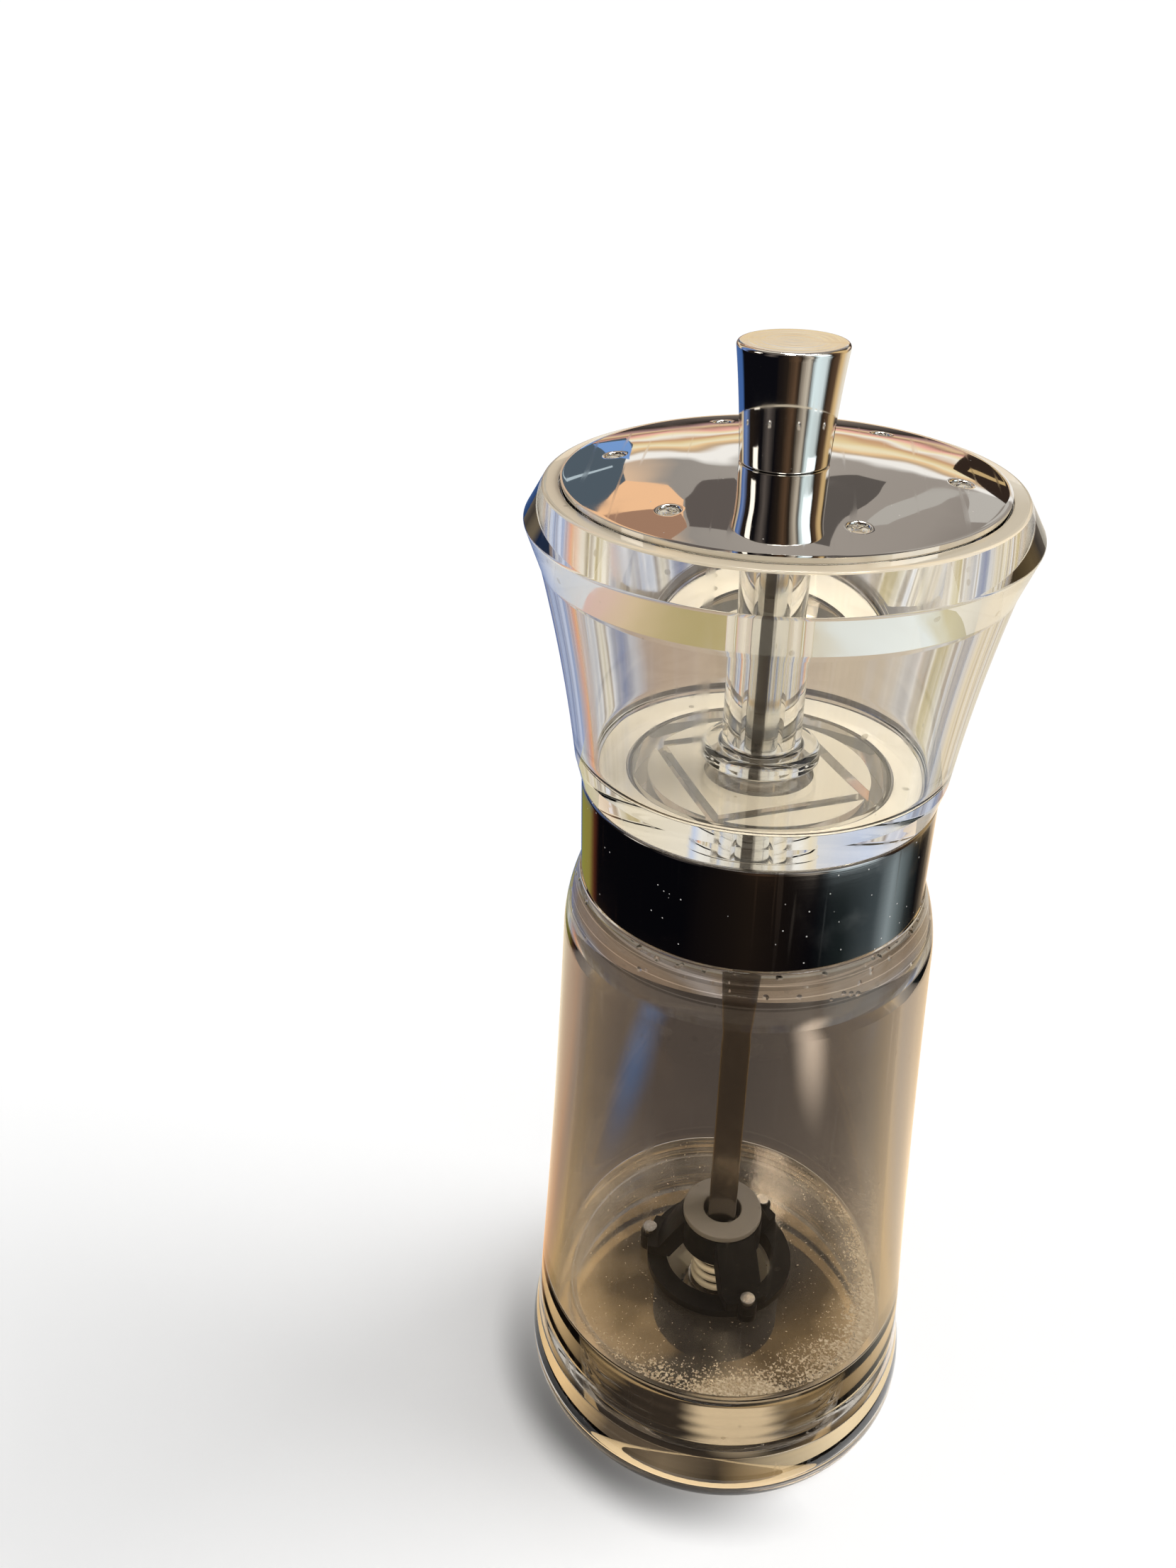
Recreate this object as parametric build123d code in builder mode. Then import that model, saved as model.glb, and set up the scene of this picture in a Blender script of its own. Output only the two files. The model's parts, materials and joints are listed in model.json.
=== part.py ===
from build123d import *
import os
from math import cos, hypot, pi, radians, sin, sqrt

# Salt shaker and pepper mill in one, in millimetres, standing on Z = 0 with its axis on +Z.
# The clear flared head holds salt under a pierced cap, and turns on the neck of the clear body,
# which holds peppercorns above a burr grinder. The knob on top is the nut that sets the grind.

# Clear body
foot_radius = 28.3
foot_edge = 0.7
foot_belly_height = 2.4
foot_height = 8.5
body_base_radius = 27.45
body_hollow = 0.33
body_height = 88.7
body_wall = 2.9
shoulder_radius = 23.3
shoulder_height = 8.5
shoulder_roof = 3.2
shoulder_lip = 0.2
neck_radius = 20.1
neck_height = 13.7
neck_bore_radius = 15.2
mouth_chamfer = 0.5

# Bright band round the neck
band_wall = 1.0
band_fit = 0.05
band_gap = 0.3

# Floor of the pepper chamber, a cup turned over that screws into the body
floor_height = 18.3
floor_thickness = 2.4
floor_step = 0.5
floor_fit = 0.08
floor_skirt_height = 11.0
floor_skirt_wall = 2.2

# Black housing of the grinder
sleeve_radius = 9.5
sleeve_wall = 1.1
sleeve_fit = 0.1
throat_lip = 0.4
flange_radius = 10.8
flange_thickness = 1.4
ear_count = 3
ear_start = 55.0
ear_offset = 10.7
ear_radius = 1.4

# Screws through the ears
screw_radius = 0.65
screw_head_radius = 1.05
screw_head_height = 0.9
screw_grip = 1.9
screw_fit = 0.05

# Bridge over the grinder, and its bush
bridge_foot = 1.5
bridge_rise = 5.9
bridge_arm_width = 6.0
bridge_arm_thickness = 2.1
bridge_arm_clearance = 0.4
hub_radius = 5.9
hub_thickness = 2.4
bush_radius = 4.0
bush_fit = 0.05
bush_flange_radius = 5.75
bush_flange_thickness = 1.0

# Square shaft, with a round threaded stretch at each end
shaft_width = 4.0
shaft_corner = 0.4
shaft_play = 0.08
shaft_fit = 0.05
shaft_step = 0.4
shaft_tail = 0.4
thread_radius = 1.95
thread_fit = 0.05

# Burrs: a turning cone drawn up into a fixed ring
burr_radius = 6.6
burr_gap = 0.35
burr_taper = 0.35
fine_height = 3.5
rotor_height = 7.4
rotor_top_radius = 4.4
rotor_sink = 4.3
rotor_teeth = 28
rotor_show = 0.2
flute_count = 5
flute_radius = 1.3
flute_depth = 1.0
flute_lean = 50.0
stator_sink = 1.9
stator_fit = 0.05
stator_mouth_wall = 0.9
stator_teeth = 30
tooth_depth = 0.55
tooth_width = 0.9
tooth_lean = 12.0
retainer_height = 1.3
retainer_width = 1.3

# Spring that pushes the turning burr down, with its two washers
spring_wire = 0.95
spring_radius = 3.6
spring_turns = 6
spring_gap = 0.1
washer_thickness = 0.6
washer_play = 0.3
washer_rim = 0.35

# Nut and washer under the turning burr
lock_washer_radius = 4.2
lock_washer_thickness = 0.7
nut_width = 7.0
nut_height = 2.2

# Clear head
head_foot_radius = 21.2
head_foot_height = 3.3
head_base_radius = 22.0
head_wall_height = 23.45
head_hollow = 0.34
head_flare_radius = 25.8
head_wall = 2.6
head_floor = 3.8
head_floor_fillet = 1.2
rim_undercut_height = 5.05
rim_radius = 27.55
rim_bevel_height = 3.7
rim_top_radius = 25.4

# Plug under the head that fits the neck and turns the shaft
plug_clearance = 0.3
plug_height = 8.0
plug_wall = 1.8
plug_web = 1.5
plug_hub_radius = 6.4
plug_hub_height = 6.0
rib_count = 4
rib_start = 71.0
rib_height = 5.0
rib_thickness = 1.4

# Tube that keeps the salt off the shaft
tube_radius = 4.6
tube_bore_radius = 2.5
tube_fit = 0.05
tube_flange_radius = 6.85
tube_flange_height = 2.0
tube_flange_edge = 0.7

# Pierced cap
cap_radius = 23.55
cap_thickness = 1.1
cap_sink = 0.5
cap_ledge = 1.0
cap_fit = 0.15
cap_rim = 1.2
cap_dome = 1.6
cap_pad = 0.8
cap_bore_fit = 0.3
salt_hole_count = 6
salt_hole_start = -65.8
salt_hole_circle = 18.2
salt_hole_radius = 1.1

# Knob
knob_height = 12.3
knob_base_radius = 4.77
knob_top_radius = 5.82
knob_hollow = 0.13
knob_top_edge = 0.45
knob_base_edge = 0.25
knob_bore_depth = 9.2
knob_grip = 7.8

# Heights that follow from the sizes above
shoulder_start = body_height - shoulder_height
neck_top = body_height + neck_height
flange_top = floor_height + flange_thickness
bridge_foot_top = flange_top + bridge_foot
hub_bottom = flange_top + bridge_rise
hub_top = hub_bottom + hub_thickness
rotor_top = floor_height - rotor_sink
rotor_bottom = rotor_top - rotor_height
fine_top = rotor_bottom + fine_height
stator_top = floor_height - stator_sink
stator_bottom = rotor_bottom + rotor_show
retainer_bottom = stator_bottom - retainer_height
lock_washer_bottom = rotor_bottom - lock_washer_thickness
nut_bottom = lock_washer_bottom - nut_height
shaft_bottom = nut_bottom - shaft_tail
head_corner = neck_top + head_foot_height
head_floor_top = neck_top + head_floor
rim_start = head_corner + head_wall_height
rim_widest = rim_start + rim_undercut_height
head_top = rim_widest + rim_bevel_height
cap_seat = head_top - cap_sink
cap_edge_top = cap_seat + cap_thickness
cap_top = cap_edge_top + cap_dome
shaft_top = cap_top + knob_grip

# Radii that follow from the sizes above
band_bore_radius = neck_radius + band_fit
band_radius = band_bore_radius + band_wall
body_slope = (shoulder_radius - body_base_radius) / (shoulder_start - foot_height)
chamber_floor_radius = body_base_radius + body_slope * (floor_height - foot_height) - body_wall
chamber_top_radius = shoulder_radius - body_wall
floor_bore_radius = chamber_floor_radius + floor_step
floor_radius = floor_bore_radius - floor_fit
sleeve_bore_radius = sleeve_radius - sleeve_wall
throat_radius = sleeve_bore_radius - throat_lip
shaft_reach = (shaft_width / 2 - shaft_corner) * sqrt(2) + shaft_corner
bush_bore_radius = shaft_reach + shaft_play
washer_bore_radius = shaft_reach + washer_play
washer_radius = spring_radius + spring_wire / 2 + washer_rim
square_hole = shaft_width + 2 * shaft_fit
square_corner = shaft_corner + shaft_fit
thread_bore_radius = thread_radius + thread_fit
fine_top_radius = burr_radius - burr_taper * fine_height
stator_radius = sleeve_bore_radius - stator_fit
stator_bottom_radius = burr_radius - burr_taper * rotor_show + burr_gap
stator_throat_radius = fine_top_radius + burr_gap
head_slope = (head_flare_radius - head_base_radius) / head_wall_height
head_floor_radius = head_base_radius + head_slope * (head_floor_top - head_corner) - head_wall
head_mouth_radius = cap_radius - cap_ledge
plug_radius = neck_bore_radius - plug_clearance
plug_bore_radius = plug_radius - plug_wall
cap_pad_radius = knob_base_radius + cap_pad


def turn(*corners, mode=Mode.ADD):
    """Turns a straight-sided section, given as (radius, height) corners, about Z."""
    with BuildSketch(Plane.XZ) as section:
        with BuildLine():
            Polyline(*corners, close=True)
        make_face()
    revolve(section.sketch, axis=Axis.Z, mode=mode)


def on_circle(radius, angle, height):
    """The point at a radius and an angle in degrees about Z, at a height."""
    return Vector(radius * cos(radians(angle)), radius * sin(radians(angle)), height)


def groove_planes(count, start, finish, lean, spare):
    """Planes square to straight grooves that run from a (radius, height) to another, turned by the lean.

    Each plane lies the spare length before its groove, with X pointing outwards. The grooves' length comes too.
    """
    planes = []
    for index in range(count):
        angle = 360 * index / count
        first = on_circle(start[0], angle, start[1])
        last = on_circle(finish[0], angle + lean, finish[1])
        way = (last - first).normalized()
        outward = on_circle(1, angle + lean / 2, 0)
        outward = outward - way * outward.dot(way)
        planes.append(Plane(origin=first - way * spare, x_dir=outward, z_dir=way))
    return planes, (last - first).length + 2 * spare


def shallow_arc(start, finish, hollow):
    """The middle point of an arc between two (radius, height) points that lies hollow of the straight line."""
    return (start[0] + finish[0]) / 2 - hollow, (start[1] + finish[1]) / 2


# Body: an outer wall with a foot bead, a hollow taper, a round shoulder and a neck, and a bore that steps in
# above the floor and again at the neck
with BuildPart() as pepper_chamber:
    with BuildSketch(Plane.XZ):
        with BuildLine():
            foot_top = (body_base_radius, foot_height)
            foot_belly = (foot_radius, foot_belly_height)
            shoulder = (shoulder_radius, shoulder_start)
            shoulder_top = (band_radius + shoulder_lip, body_height)
            roof = (chamber_top_radius, shoulder_start)
            step = (chamber_floor_radius, floor_height)
            Line((floor_bore_radius, 0), (foot_radius - foot_edge, 0))
            TangentArc(foot_belly, (foot_radius - foot_edge, 0), tangent=(0, -1))
            TangentArc(foot_belly, foot_top, tangent=(0, 1))
            ThreePointArc(foot_top, shallow_arc(foot_top, shoulder, body_hollow), shoulder)
            TangentArc(shoulder, shoulder_top, tangent=(body_slope, 1))
            Polyline(
                shoulder_top,
                (neck_radius, body_height),
                (neck_radius, neck_top),
                (neck_bore_radius + mouth_chamfer, neck_top),
                (neck_bore_radius, neck_top - mouth_chamfer),
                (neck_bore_radius, body_height - shoulder_roof),
            )
            TangentArc(roof, (neck_bore_radius, body_height - shoulder_roof), tangent=(body_slope, 1))
            ThreePointArc(roof, shallow_arc(roof, step, body_hollow), step)
            Polyline(step, (floor_bore_radius, floor_height), (floor_bore_radius, 0))
        make_face()
    revolve(axis=Axis.Z)

with BuildPart() as neck_band:
    turn(
        (band_bore_radius, body_height),
        (band_radius, body_height),
        (band_radius, neck_top - band_gap),
        (band_bore_radius, neck_top - band_gap),
    )

# Floor: a disc with a deep threaded skirt, let in from below up to the step in the body
with BuildPart() as mill_floor:
    skirt_radius = floor_radius - floor_skirt_wall
    turn(
        (sleeve_radius + sleeve_fit, floor_height - floor_thickness),
        (skirt_radius, floor_height - floor_thickness),
        (skirt_radius, floor_height - floor_skirt_height),
        (floor_radius, floor_height - floor_skirt_height),
        (floor_radius, floor_height),
        (sleeve_radius + sleeve_fit, floor_height),
    )
    with BuildSketch(Plane.XY.offset(floor_height)):
        with PolarLocations(ear_offset, ear_count, start_angle=ear_start):
            Circle(screw_radius + screw_fit)
    extrude(amount=-screw_grip - screw_fit, mode=Mode.SUBTRACT)

# Housing: a sleeve through the floor, stepped inside for the fixed burr, with a flange and three ears on top
with BuildPart() as grinder_housing:
    turn(
        (sleeve_bore_radius, retainer_bottom),
        (sleeve_radius, retainer_bottom),
        (sleeve_radius, floor_height),
        (flange_radius, floor_height),
        (flange_radius, flange_top),
        (throat_radius, flange_top),
        (throat_radius, stator_top),
        (sleeve_bore_radius, stator_top),
    )
    with BuildSketch(Plane.XY.offset(floor_height)):
        for ear_index in range(ear_count):
            ear_angle = ear_start + 360 * ear_index / ear_count
            with Locations(on_circle(ear_offset, ear_angle, 0)):
                Circle(ear_radius)
            with Locations(Location(on_circle(ear_offset / 2, ear_angle, 0), (0, 0, ear_angle))):
                Rectangle(ear_offset, 2 * ear_radius)
        Circle(sleeve_radius, mode=Mode.SUBTRACT)
    extrude(amount=flange_thickness)
    with BuildSketch(Plane.XY.offset(floor_height)):
        with PolarLocations(ear_offset, ear_count, start_angle=ear_start):
            Circle(screw_radius + screw_fit)
    extrude(amount=flange_thickness, mode=Mode.SUBTRACT)

# Bridge: a turned bell cut back to a hub, three sloping arms and their feet
with BuildPart() as bridge:
    arm_foot_radius = ear_offset - screw_head_radius - bridge_arm_clearance
    arm_run = arm_foot_radius - hub_radius
    arm_drop = hub_top - bridge_foot_top
    arm_inset = bridge_arm_thickness * hypot(arm_run, arm_drop) / arm_drop
    arm_lean = arm_run / arm_drop
    arm_inner_top = hub_radius - arm_inset + arm_lean * hub_thickness
    arm_inner_foot = hub_radius - arm_inset + arm_lean * (hub_top - flange_top)
    turn(
        (bush_radius + bush_fit, hub_bottom),
        (arm_inner_top, hub_bottom),
        (arm_inner_foot, flange_top),
        (ear_offset + ear_radius, flange_top),
        (ear_offset + ear_radius, bridge_foot_top),
        (arm_foot_radius, bridge_foot_top),
        (hub_radius, hub_top),
        (bush_radius + bush_fit, hub_top),
    )
    with BuildSketch(Plane.XY.offset(flange_top)):
        Circle(hub_radius)
        for arm_index in range(ear_count):
            arm_angle = ear_start + 360 * arm_index / ear_count
            with Locations(Location(on_circle(ear_offset / 2, arm_angle, 0), (0, 0, arm_angle))):
                Rectangle(ear_offset, bridge_arm_width)
        Circle(flange_radius, mode=Mode.INTERSECT)
        with PolarLocations(ear_offset, ear_count, start_angle=ear_start):
            Circle(ear_radius)
        with PolarLocations(ear_offset, ear_count, start_angle=ear_start):
            Circle(screw_radius + screw_fit, mode=Mode.SUBTRACT)
    extrude(amount=hub_top - flange_top, mode=Mode.INTERSECT)

with BuildPart() as bridge_screws:
    with BuildSketch(Plane.XY.offset(bridge_foot_top)):
        with PolarLocations(ear_offset, ear_count, start_angle=ear_start):
            Circle(screw_head_radius)
    extrude(amount=screw_head_height)
    with BuildSketch(Plane.XY.offset(floor_height - screw_grip)):
        with PolarLocations(ear_offset, ear_count, start_angle=ear_start):
            Circle(screw_radius)
    extrude(amount=bridge_foot_top - floor_height + screw_grip)

with BuildPart() as shaft_bush:
    turn(
        (bush_bore_radius, hub_bottom),
        (bush_radius, hub_bottom),
        (bush_radius, hub_top),
        (bush_flange_radius, hub_top),
        (bush_flange_radius, hub_top + bush_flange_thickness),
        (bush_bore_radius, hub_top + bush_flange_thickness),
    )

# Fixed burr: a ring with a wide mouth and a short fine cone below it, cut with leaning teeth
with BuildPart() as stator_burr:
    turn(
        (stator_bottom_radius, stator_bottom),
        (stator_radius, stator_bottom),
        (stator_radius, stator_top),
        (stator_radius - stator_mouth_wall, stator_top),
        (stator_throat_radius, fine_top),
    )
    stator_planes, stator_groove = groove_planes(
        stator_teeth,
        (stator_throat_radius, fine_top),
        (stator_bottom_radius, stator_bottom),
        -tooth_lean,
        tooth_depth,
    )
    with BuildSketch(*stator_planes):
        with BuildLine():
            Polyline(
                (tooth_depth, 0),
                (-tooth_depth, tooth_width),
                (-tooth_depth, -tooth_width),
                close=True,
            )
        make_face()
    extrude(amount=stator_groove, mode=Mode.SUBTRACT)

with BuildPart() as burr_retainer:
    turn(
        (stator_radius - retainer_width, retainer_bottom),
        (stator_radius, retainer_bottom),
        (stator_radius, stator_bottom),
        (stator_radius - retainer_width, stator_bottom),
    )

# Turning burr: a cone on the square shaft with deep leaning flutes above and fine leaning teeth below
with BuildPart() as rotor_burr:
    turn(
        (0, rotor_bottom),
        (burr_radius, rotor_bottom),
        (fine_top_radius, fine_top),
        (rotor_top_radius, rotor_top),
        (0, rotor_top),
    )
    flute_offset = flute_radius - flute_depth
    flute_planes, flute_length = groove_planes(
        flute_count,
        (rotor_top_radius + flute_offset, rotor_top),
        (fine_top_radius + flute_offset, fine_top),
        flute_lean,
        flute_radius / 2,
    )
    with BuildSketch(*flute_planes):
        Circle(flute_radius)
    extrude(amount=flute_length, mode=Mode.SUBTRACT)
    rotor_planes, rotor_groove = groove_planes(
        rotor_teeth,
        (fine_top_radius, fine_top),
        (burr_radius, rotor_bottom),
        tooth_lean,
        tooth_depth,
    )
    with BuildSketch(*rotor_planes):
        with BuildLine():
            Polyline(
                (-tooth_depth, 0),
                (tooth_depth, tooth_width),
                (tooth_depth, -tooth_width),
                close=True,
            )
        make_face()
    extrude(amount=rotor_groove, mode=Mode.SUBTRACT)
    with BuildSketch(Plane.XY.offset(rotor_bottom)):
        RectangleRounded(square_hole, square_hole, square_corner)
    extrude(amount=rotor_height, mode=Mode.SUBTRACT)

# Washers at the ends of the spring
with BuildPart() as spring_seat:
    turn(
        (washer_bore_radius, rotor_top),
        (washer_radius, rotor_top),
        (washer_radius, rotor_top + washer_thickness),
        (washer_bore_radius, rotor_top + washer_thickness),
    )

with BuildPart() as thrust_washer:
    turn(
        (washer_bore_radius, hub_bottom - washer_thickness),
        (washer_radius, hub_bottom - washer_thickness),
        (washer_radius, hub_bottom),
        (washer_bore_radius, hub_bottom),
    )

# Spring: one wire whose helix is laid in pairs of arcs, two pairs to a half turn, with straight ends
spring_bottom = rotor_top + washer_thickness + spring_gap + spring_wire / 2
spring_top = hub_bottom - washer_thickness - spring_gap - spring_wire / 2
spring_pitch = (spring_top - spring_bottom) / spring_turns


def coil_point(turn_number):
    """The wire's middle after a number of turns."""
    return on_circle(spring_radius, 360 * turn_number, spring_bottom + spring_pitch * turn_number)


def coil_way(turn_number):
    """The wire's direction after a number of turns."""
    around = on_circle(2 * pi * spring_radius, 360 * turn_number + 90, 0)
    return (around + Vector(0, 0, spring_pitch)).normalized()


def arc_pair(start, start_way, finish, finish_way):
    """The point where two arcs meet that leave and reach two points along given directions, and their way there."""
    span = finish - start
    both = start_way + finish_way
    spread = 2 * (1 - start_way.dot(finish_way))
    along = span.dot(both)
    reach = (sqrt(along**2 + spread * span.dot(span)) - along) / spread
    first = start + start_way * reach
    last = finish - finish_way * reach
    return (first + last) / 2, (last - first).normalized()


with BuildPart() as burr_spring:
    with BuildLine() as coil:
        Line(coil_point(0) - coil_way(0) * spring_wire, coil_point(0))
        for quarter in range(4 * spring_turns):
            here, there = quarter / 4, (quarter + 1) / 4
            middle, middle_way = arc_pair(coil_point(here), coil_way(here), coil_point(there), coil_way(there))
            TangentArc(coil_point(here), middle, tangent=coil_way(here))
            TangentArc(middle, coil_point(there), tangent=middle_way)
        Line(coil_point(spring_turns), coil_point(spring_turns) + coil_way(spring_turns) * spring_wire)
    wire_path = coil.wire()
    with BuildSketch(Plane(origin=wire_path @ 0, z_dir=wire_path % 0)):
        Circle(spring_wire / 2)
    sweep(path=wire_path)

gap_steps = 48
coil_points = [coil_point(step_number / gap_steps) for step_number in range(gap_steps * spring_turns + 1)]
turn_gaps = [
    (coil_points[far] - coil_points[near]).length - spring_wire
    for near in range(len(coil_points))
    for far in range(near + gap_steps // 2, len(coil_points))
]
print("least gap between the spring's turns", round(min(turn_gaps), 2), "mm")

# Shaft: square from the turning burr up into the plug, round and threaded at both ends
with BuildPart() as shaft:
    with BuildSketch(Plane.XY.offset(rotor_bottom)):
        RectangleRounded(shaft_width, shaft_width, shaft_corner)
    extrude(amount=neck_top - shaft_step - rotor_bottom)
    with BuildSketch(Plane.XY.offset(shaft_bottom)):
        Circle(thread_radius)
    extrude(amount=rotor_bottom - shaft_bottom)
    with BuildSketch(Plane.XY.offset(neck_top - shaft_step)):
        Circle(thread_radius)
    extrude(amount=shaft_top - neck_top + shaft_step)
    chamfer(shaft.edges().group_by(Axis.Z)[0], thread_fit * 6)
    chamfer(shaft.edges().group_by(Axis.Z)[-1], thread_fit * 6)

with BuildPart() as lock_washer:
    turn(
        (thread_bore_radius, lock_washer_bottom),
        (lock_washer_radius, lock_washer_bottom),
        (lock_washer_radius, rotor_bottom),
        (thread_bore_radius, rotor_bottom),
    )

with BuildPart() as lock_nut:
    with BuildSketch(Plane.XY.offset(nut_bottom)):
        RegularPolygon(nut_width / 2, 6, major_radius=False)
        Circle(thread_bore_radius, mode=Mode.SUBTRACT)
    extrude(amount=nut_height)

# Head: a flared cup with a narrow foot, a bevelled rim and a rebate for the cap
with BuildPart() as salt_chamber:
    with BuildSketch(Plane.XZ):
        with BuildLine():
            corner = (head_base_radius, head_corner)
            flare = (head_flare_radius, rim_start)
            floor_corner = (head_floor_radius, head_floor_top)
            mouth = (head_mouth_radius, rim_start)
            Polyline((tube_radius + tube_fit, neck_top), (head_foot_radius, neck_top), corner)
            ThreePointArc(corner, shallow_arc(corner, flare, head_hollow), flare)
            Polyline(
                flare,
                (rim_radius, rim_widest),
                (rim_top_radius, head_top),
                (cap_radius + cap_fit, head_top),
                (cap_radius + cap_fit, cap_seat),
                (head_mouth_radius, cap_seat),
                mouth,
            )
            ThreePointArc(mouth, shallow_arc(mouth, floor_corner, head_hollow), floor_corner)
            Polyline(
                floor_corner,
                (tube_radius + tube_fit, head_floor_top),
                (tube_radius + tube_fit, neck_top),
            )
        make_face()
    revolve(axis=Axis.Z)
    floor_ring = salt_chamber.edges().filter_by(GeomType.CIRCLE)
    floor_ring = floor_ring.filter_by(lambda edge: abs(edge.center().Z - head_floor_top) < head_floor / 100)
    fillet(floor_ring.sort_by(SortBy.RADIUS)[-1], head_floor_fillet)

# Plug: a web under the cup, a ring that turns in the neck, a hub on the square shaft and four ribs laid as a
# square whose corners reach the ring
with BuildPart() as drive_plug:
    turn(
        (0, neck_top - plug_web),
        (plug_bore_radius, neck_top - plug_web),
        (plug_bore_radius, neck_top - plug_height),
        (plug_radius, neck_top - plug_height),
        (plug_radius, neck_top),
        (0, neck_top),
    )
    with BuildSketch(Plane.XY.offset(neck_top)):
        Circle(plug_hub_radius)
    extrude(amount=-plug_hub_height)
    with BuildSketch(Plane.XY.offset(neck_top)):
        rib_offset = plug_bore_radius / sqrt(2)
        for rib_index in range(rib_count):
            rib_angle = rib_start + 360 * (rib_index + 0.5) / rib_count
            with Locations(Location(on_circle(rib_offset, rib_angle, 0), (0, 0, rib_angle))):
                Rectangle(rib_thickness, 2 * plug_bore_radius)
        Circle(plug_radius, mode=Mode.INTERSECT)
    extrude(amount=-rib_height)
    with BuildSketch(Plane.XY.offset(neck_top)):
        RectangleRounded(square_hole, square_hole, square_corner)
    extrude(amount=-plug_hub_height, mode=Mode.SUBTRACT)

with BuildPart() as shaft_tube:
    tube_top = cap_top - cap_thickness
    turn(
        (tube_bore_radius, neck_top),
        (tube_radius, neck_top),
        (tube_radius, head_floor_top),
        (tube_flange_radius, head_floor_top),
        (tube_flange_radius, head_floor_top + tube_flange_height),
        (tube_radius, head_floor_top + tube_flange_height),
        (tube_radius, tube_top),
        (tube_bore_radius, tube_top),
    )
    flange_ring = shaft_tube.edges().filter_by(GeomType.CIRCLE).sort_by(SortBy.RADIUS)[-2:]
    fillet(flange_ring.sort_by(Axis.Z)[-1], tube_flange_edge)

# Cap: a domed plate with a flat rim in the rebate, a flat pad under the knob and a ring of holes
with BuildPart() as salt_cap:
    with BuildSketch(Plane.XZ):
        with BuildLine():
            cap_bore = thread_radius + cap_bore_fit
            dome_start = cap_radius - cap_rim
            upper = [(cap_pad_radius, cap_top), (dome_start, cap_edge_top)]
            lower = [(radius, height - cap_thickness) for radius, height in upper]
            Line((cap_bore, cap_top), upper[0])
            TangentArc(upper[0], upper[1], tangent=(1, 0))
            Polyline(upper[1], (cap_radius, cap_edge_top), (cap_radius, cap_seat), lower[1])
            TangentArc(lower[0], lower[1], tangent=(1, 0))
            Polyline(lower[0], (cap_bore, cap_top - cap_thickness), (cap_bore, cap_top))
        make_face()
    revolve(axis=Axis.Z)
    with BuildSketch(Plane.XY.offset(cap_seat)):
        with PolarLocations(salt_hole_circle, salt_hole_count, start_angle=salt_hole_start):
            Circle(salt_hole_radius)
    extrude(amount=cap_thickness + cap_dome, mode=Mode.SUBTRACT)

# Knob: a flared nut with a blind threaded bore and rounded edges
with BuildPart() as knob:
    with BuildSketch(Plane.XZ):
        with BuildLine():
            knob_base = (knob_base_radius, cap_top)
            knob_crown = (knob_top_radius, cap_top + knob_height)
            bore_end = cap_top + knob_bore_depth
            Line((thread_bore_radius, cap_top), knob_base)
            ThreePointArc(knob_base, shallow_arc(knob_base, knob_crown, knob_hollow), knob_crown)
            Polyline(
                knob_crown,
                (0, cap_top + knob_height),
                (0, bore_end),
                (thread_bore_radius, bore_end),
                (thread_bore_radius, cap_top),
            )
        make_face()
    revolve(axis=Axis.Z)
    fillet(knob.edges().group_by(Axis.Z)[-1], knob_top_edge)
    fillet(knob.edges().group_by(Axis.Z)[0].sort_by(SortBy.RADIUS)[-1], knob_base_edge)

pieces = {
    "pepper_chamber": pepper_chamber,
    "neck_band": neck_band,
    "mill_floor": mill_floor,
    "grinder_housing": grinder_housing,
    "bridge": bridge,
    "bridge_screws": bridge_screws,
    "shaft_bush": shaft_bush,
    "stator_burr": stator_burr,
    "burr_retainer": burr_retainer,
    "thrust_washer": thrust_washer,
    "burr_spring": burr_spring,
    "spring_seat": spring_seat,
    "shaft": shaft,
    "rotor_burr": rotor_burr,
    "lock_washer": lock_washer,
    "lock_nut": lock_nut,
    "salt_chamber": salt_chamber,
    "drive_plug": drive_plug,
    "shaft_tube": shaft_tube,
    "salt_cap": salt_cap,
    "knob": knob,
}
os.makedirs("parts", exist_ok=True)
for piece_name, piece in pieces.items():
    piece.part.label = piece_name
    export_step(piece.part, f"parts/{piece_name}.step")
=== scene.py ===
import json
import math

import bmesh
import bpy
import numpy as np
from mathutils import Matrix


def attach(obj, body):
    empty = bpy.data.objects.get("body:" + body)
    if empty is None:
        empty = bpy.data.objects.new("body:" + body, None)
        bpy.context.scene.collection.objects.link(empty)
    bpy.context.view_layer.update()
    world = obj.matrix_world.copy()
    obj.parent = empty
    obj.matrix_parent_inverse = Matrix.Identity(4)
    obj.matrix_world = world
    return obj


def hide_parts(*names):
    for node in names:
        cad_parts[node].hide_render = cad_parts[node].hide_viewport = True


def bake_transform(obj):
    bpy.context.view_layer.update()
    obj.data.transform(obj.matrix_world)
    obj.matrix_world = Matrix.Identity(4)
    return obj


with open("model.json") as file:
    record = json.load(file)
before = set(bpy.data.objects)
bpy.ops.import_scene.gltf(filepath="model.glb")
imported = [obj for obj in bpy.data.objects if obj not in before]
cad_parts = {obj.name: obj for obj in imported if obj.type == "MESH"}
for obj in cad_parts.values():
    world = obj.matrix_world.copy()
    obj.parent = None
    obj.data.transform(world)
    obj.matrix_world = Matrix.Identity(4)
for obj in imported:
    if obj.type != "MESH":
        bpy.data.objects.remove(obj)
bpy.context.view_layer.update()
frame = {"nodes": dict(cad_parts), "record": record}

# Looks of a salt shaker and pepper mill in one. Sizes are in millimetres, as in the part's source, and become
# metres when a mesh is made. The axis is +Z, and the viewer stands on the -Y side.
MM = 0.001

# Clear body
foot_radius = 28.3
foot_edge = 0.7
foot_belly_height = 2.4
foot_height = 8.5
body_base_radius = 27.45
body_hollow = 0.33
body_height = 88.7
body_wall = 2.9
shoulder_radius = 23.3
shoulder_start = 80.2
shoulder_roof = 3.2
neck_radius = 20.1
neck_top = 102.4
neck_bore_radius = 15.2

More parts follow.
